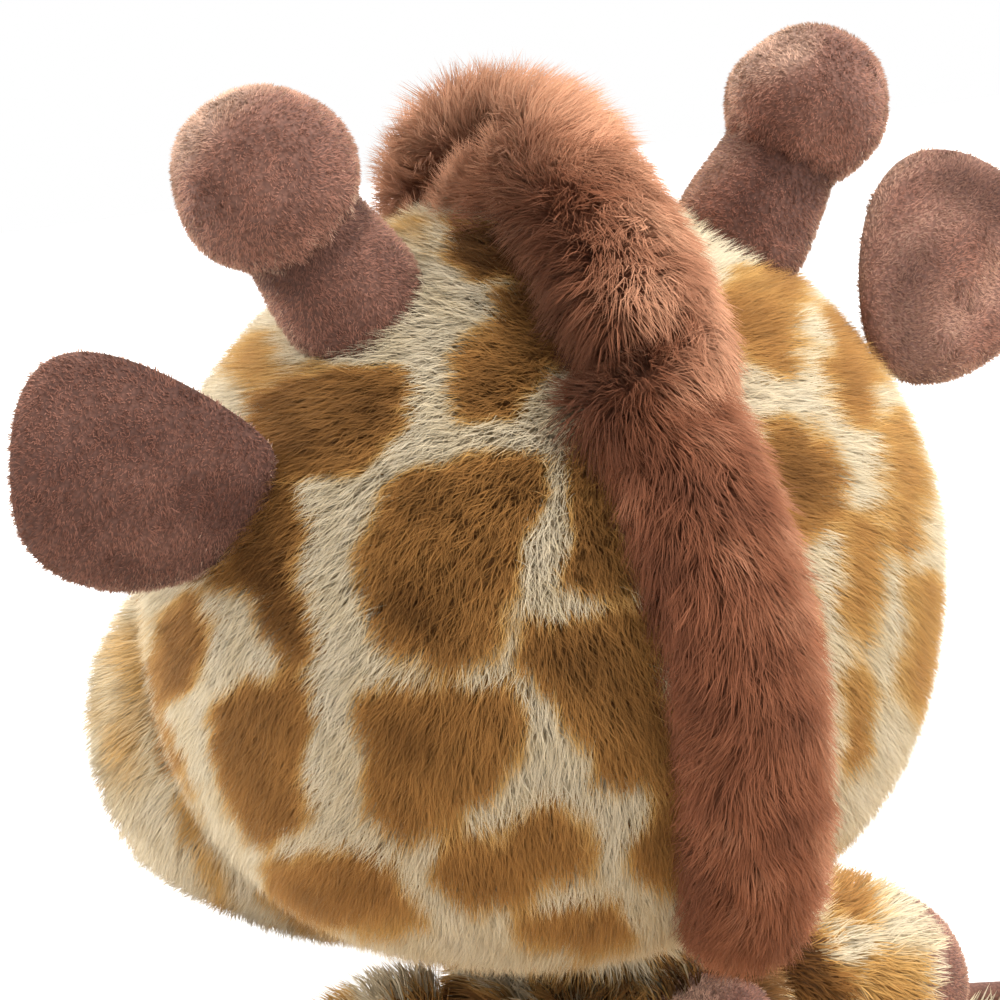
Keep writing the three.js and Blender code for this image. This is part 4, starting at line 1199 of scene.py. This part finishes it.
def make_arm(name):
    body = f"{name}_arm"
    line = arm_line(name)
    steps = np.concatenate([[0], np.cumsum(np.linalg.norm(np.diff(line, axis=0), axis=1))])
    whole = steps[-1]
    s = np.linspace(0.4, whole - HOOF_SEAM + 1.0, 48)
    path = np.stack([np.interp(s, steps, line[:, i]) for i in range(3)], 1)
    rounded = np.sqrt(np.maximum(SHOULDER_RADIUS**2 - (SHOULDER_RADIUS - s) ** 2, 0.1))
    swell = np.sin(math.pi * (s - SHOULDER_RADIUS) / (whole - SHOULDER_RADIUS))
    sleeve = SHOULDER_RADIUS + (ARM_MIDDLE_RADIUS - SHOULDER_RADIUS) * swell
    radii = np.where(s < SHOULDER_RADIUS, rounded, sleeve)
    skin = tube(path, np.maximum(radii - PLUSH_DEPTH, 0.5), (0, 1, 0), 60)
    patches = arm_patches(path, seed=24 if name == "left" else 25)
    stuffed = (f"{body}_sleeve", f"{body}_stuffing")
    plush_cover(f"{body}_cover", skin, body, stuffed, patches, seed=48)
    last = unit(path[-1] - path[-3])
    roots, normals = scatter(skin, PLUSH_DENSITIES["arm"], seed=54, keep=lambda r, n, draw: (
        ((r - path[-1]) @ last < -0.5) & (from_neck(r) > NECK_FOOT)))
    way = unit(line[-1] - line[0]) + PLUSH_SWIRL * swirl(roots, 16, 49)
    plush_pile(f"{body}_pile", "arm", body, roots, normals, way, patches, tone_seed=48, seed=64, length=0.9)
    make_hoof(name, line)


def make_hoof(name, line):
    """A velour cap gathered onto the end of the sleeve."""
    ahead = unit(line[-1] - line[-2])
    turn = np.linspace(-0.42 * math.pi, 0.497 * math.pi, 30)
    reach = (HOOF_LENGTH - HOOF_SEAM) * np.sign(turn) * np.abs(np.sin(turn)) ** 0.8
    radii = (HOOF_RADIUS - VELOUR_DEPTH) * np.cos(turn) ** 0.7
    shown = reach > -HOOF_SEAM
    hoof = tube(line[-1] + reach[shown][:, None] * ahead, radii[shown], (0, 1, 0), 64)
    velour(f"{name}_hoof_cover", hoof, f"{name}_arm", (f"{name}_hoof",), flow=ahead,
           keep=lambda r, n, draw: (r[:, 2] > BLANKET_TOP + 1) & (n @ ahead > -0.8), per_mm2=HOOF_NAP)


# Face, embroidered in thread. Places are in degrees from the middle of the front
EYE_SIZE, EYE_AT = (5.2, 3.0, 6.4), (25, 14)
NOSTRIL_SIZE, NOSTRIL_AT = (4.2, 2.4, 3.0), (19, 27)
MOUTH_SPAN, MOUTH_AT, MOUTH_RISE = 34, -24, 13
MOUTH_STITCHES = 20
THREAD_PITCH = 0.55


def stitched_oval(name, size, place, side, at):
    """Satin stitch: threads laid side by side across an oval, raised in the middle."""
    lon, lat = np.array([-math.pi / 2 + side * math.radians(at[0])]), np.array([math.radians(at[1])])
    step = 1e-3
    right = place(lon + step, lat)[0] - place(lon - step, lat)[0]
    rise = place(lon, lat + step)[0] - place(lon, lat - step)[0]
    outward = unit(np.cross(right, rise))
    x = unit(np.cross((0, 0, 1), outward))
    y = np.cross(outward, x)
    turn = round_turn(96)
    centre = place(lon, lat)[0] - outward * 0.6
    rings = []
    for angle in np.linspace(-0.35 * math.pi, 0.49 * math.pi, 30):
        a = size[0] * math.cos(angle) * np.cos(turn)
        b = size[2] * math.cos(angle) * np.sin(turn)
        ridge = 0.14 * np.abs(np.cos(math.pi * b / THREAD_PITCH))
        c = size[1] * math.sin(angle) * (0.92 + ridge)
        rings.append(centre + a[:, None] * x + b[:, None] * y + c[:, None] * outward)
    piece(f"{name}_stitches", loft(np.array(rings)), THREAD, "head", (name,))


def make_face():
    for name, side in SIDES.items():
        stitched_oval(f"{name}_eye", EYE_SIZE, head_place, side, EYE_AT)
        stitched_oval(f"{name}_nostril", NOSTRIL_SIZE, muzzle_place, side, NOSTRIL_AT)
    # The mouth is a row of back stitches, each a short twisted length of thread
    t = np.linspace(-1, 1, 181)
    lon = -math.pi / 2 + math.radians(MOUTH_SPAN) * t
    line = muzzle_place(lon, np.radians(MOUTH_AT + MOUTH_RISE * t * t), -1.45)
    stitch = np.abs(np.sin(math.pi * MOUTH_STITCHES / 2 * (t + 1))) ** 0.35
    mouth = tube(line, 0.45 + 0.7 * stitch, (0, 0, 1), 14)
    piece("mouth_stitches", mouth, THREAD, "head", ("mouth_stitch",))


# Blanket
PIPING_STEPS, PIPING_SIDES, PIPING_STITCHES = 240, 16, 40


def blanket_layer(low, high, rings, around):
    """A flat layer with the blanket's outline and ripples, between two heights."""
    share = np.linspace(0, 1, rings + 1)[1:]
    angle = round_turn(around)
    reach = blanket_edge(angle, HEM)[None] * share[:, None]
    x, y = reach * np.cos(angle), reach * np.sin(angle)
    flat = np.stack([x, y, blanket_ripple(x, y)], -1)
    return loft(np.concatenate([flat + low * UP, (flat + high * UP)[::-1]]))


def blanket_patches():
    def place(draw):
        x, y = draw.uniform(-BLANKET / 2, BLANKET / 2, 2)
        return np.array([x, y, BLANKET_TOP + blanket_ripple(x, y)])

    def on_it(p):
        return math.hypot(p[0], p[1]) < blanket_edge(np.arctan2(p[1], p[0]), 8)
    return more_patches(place, lambda p: UP, seed=26, tries=2500, sizes=(7.5, 12.0), free=on_it)


def plain_velour(name, form, replaces, size, seed):
    """Velour whose nap is too flat to show, a little uneven in colour."""
    tone = np.clip(0.45 + 0.15 * wander(form.points, size, seed), 0, 1)
    return piece(name, form, VELOUR_BACKING, "blanket", replaces, tone)


def piping_cord():
    """A ring of cord round the edge, which rises with the ripples and is drawn in a little at each stitch."""
    angle = np.linspace(0, 2 * math.pi, PIPING_STEPS + 1)[:-1]
    reach = blanket_edge(angle, PIPING_RADIUS)
    x, y = reach * np.cos(angle), reach * np.sin(angle)
    line = np.stack([x, y, PIPING_RADIUS + blanket_ripple(x, y)], 1)
    out = np.stack([np.cos(angle), np.sin(angle), 0 * angle], 1)
    full = PIPING_RADIUS * (0.97 + 0.03 * np.cos(PIPING_STITCHES * angle))[:, None, None]
    rings = line[:, None] + circles(out, np.broadcast_to(UP, out.shape), PIPING_SIDES) * full
    here = np.arange(PIPING_STEPS * PIPING_SIDES).reshape(PIPING_STEPS, PIPING_SIDES)
    after, beside = np.roll(here, -1, 0), np.roll(here, -1, 1)
    quads = np.stack([here, after, np.roll(after, -1, 1), beside], -1).reshape(-1, 4)
    return Form(rings.reshape(-1, 3), quads, NO_TRIANGLES)


def make_blanket():
    patches = blanket_patches()
    top = blanket_layer(LINING_THICKNESS + GAP, BLANKET_TOP - 1.0, 40, 180)
    cover = plush_cover("blanket_plush", top, "blanket", ("blanket_top",), patches, seed=52)
    roots, normals = scatter(top, PLUSH_DENSITIES["blanket"], seed=55, keep=lambda r, n, draw: (
        (n[:, 2] > 0.75) & (from_neck(r) >= NECK_FOOT)))
    way = np.stack([0.4 * wander(roots, 40, 56), np.ones(len(roots)), 0.4 * wander(roots, 40, 57)], 1)
    combed = plush_pile("blanket_pile", "blanket", "blanket", roots, normals, way, patches, tone_seed=52,
                        seed=65, length=0.8, tuft_size=9, short=True, lowest=0.4)
    under = blanket_layer(0.05, LINING_THICKNESS, 24, 150)
    lining = plain_velour("blanket_velour_lining", under, ("blanket_lining",), size=25, seed=58)
    plain_velour("blanket_piping_cord", piping_cord(), ("blanket_piping",), size=14, seed=59)


# Studio
FLOOR_CORNERS = [(-0.7, -0.8, 0), (0.7, -0.8, 0), (0.7, 0.6, 0), (-0.7, 0.6, 0)]
WHITE = (1, 1, 1, 1)
PANEL_DISTANCE = 700


def make_floor():
    mesh = bpy.data.meshes.new("floor")
    mesh.from_pydata(FLOOR_CORNERS, [], [(0, 1, 2, 3)])
    mesh.materials.append(floor_material())
    floor = bpy.data.objects.new("floor", mesh)
    # Just under the blanket, so that no two faces lie in one plane
    floor.location.z = -0.2 * MM
    link(floor)


def make_room():
    """A white room that is brightest beyond the object, as in a product photograph."""
    world = bpy.data.worlds.new("white_room")
    world.use_nodes = True
    tree = world.node_tree
    tree.nodes.clear()
    place = node(tree, "TexCoord").outputs["Generated"]
    beyond = unit(-camera_back + 0.55 * camera_right + 0.85 * UP)
    toward = node(tree, "VectorMath", {0: place, 1: tuple(beyond)}, operation="DOT_PRODUCT")
    strength = node(tree, "MapRange", {
        "Value": toward.outputs["Value"], "From Min": -0.7, "From Max": 0.8, "To Min": 0.57, "To Max": 2.5})
    room = node(tree, "Background", {"Color": WHITE, "Strength": strength.outputs["Result"]})
    plain = node(tree, "Background", {"Color": WHITE, "Strength": 1.0})
    direct = node(tree, "LightPath").outputs["Is Camera Ray"]
    both = node(tree, "MixShader", {0: direct, 1: room.outputs[0], 2: plain.outputs[0]})
    node(tree, "OutputWorld", {"Surface": both.outputs[0]})
    bpy.context.scene.world = world
    bpy.context.scene.view_settings.view_transform = "Standard"


def make_panel(name, energy, way):
    """A large soft panel that faces the head."""
    lamp = bpy.data.lights.new(name, "AREA")
    lamp.size = 0.5
    lamp.energy = energy
    panel = bpy.data.objects.new(name, lamp)
    panel.location = Vector((CAMERA_TARGET + PANEL_DISTANCE * unit(way)) * MM)
    panel.rotation_euler = Vector(-way).to_track_quat("-Z", "Y").to_euler()
    link(panel)


def make_studio():
    make_floor()
    make_room()
    # One above and to the right of the camera, and one beyond the object to the left
    make_panel("right_panel", 4.0, 0.75 * camera_right + 0.35 * camera_back + 0.75 * UP)
    make_panel("left_panel", 3.0, -0.85 * camera_right - 0.35 * camera_back + 0.35 * UP)


make_camera()
make_blanket()
make_neck()
for side_name in SIDES:
    make_arm(side_name)
make_head()
make_muzzle()
make_mane()
for side_name in SIDES:
    make_ossicone(side_name)
    make_ear(side_name)
make_face()
make_studio()
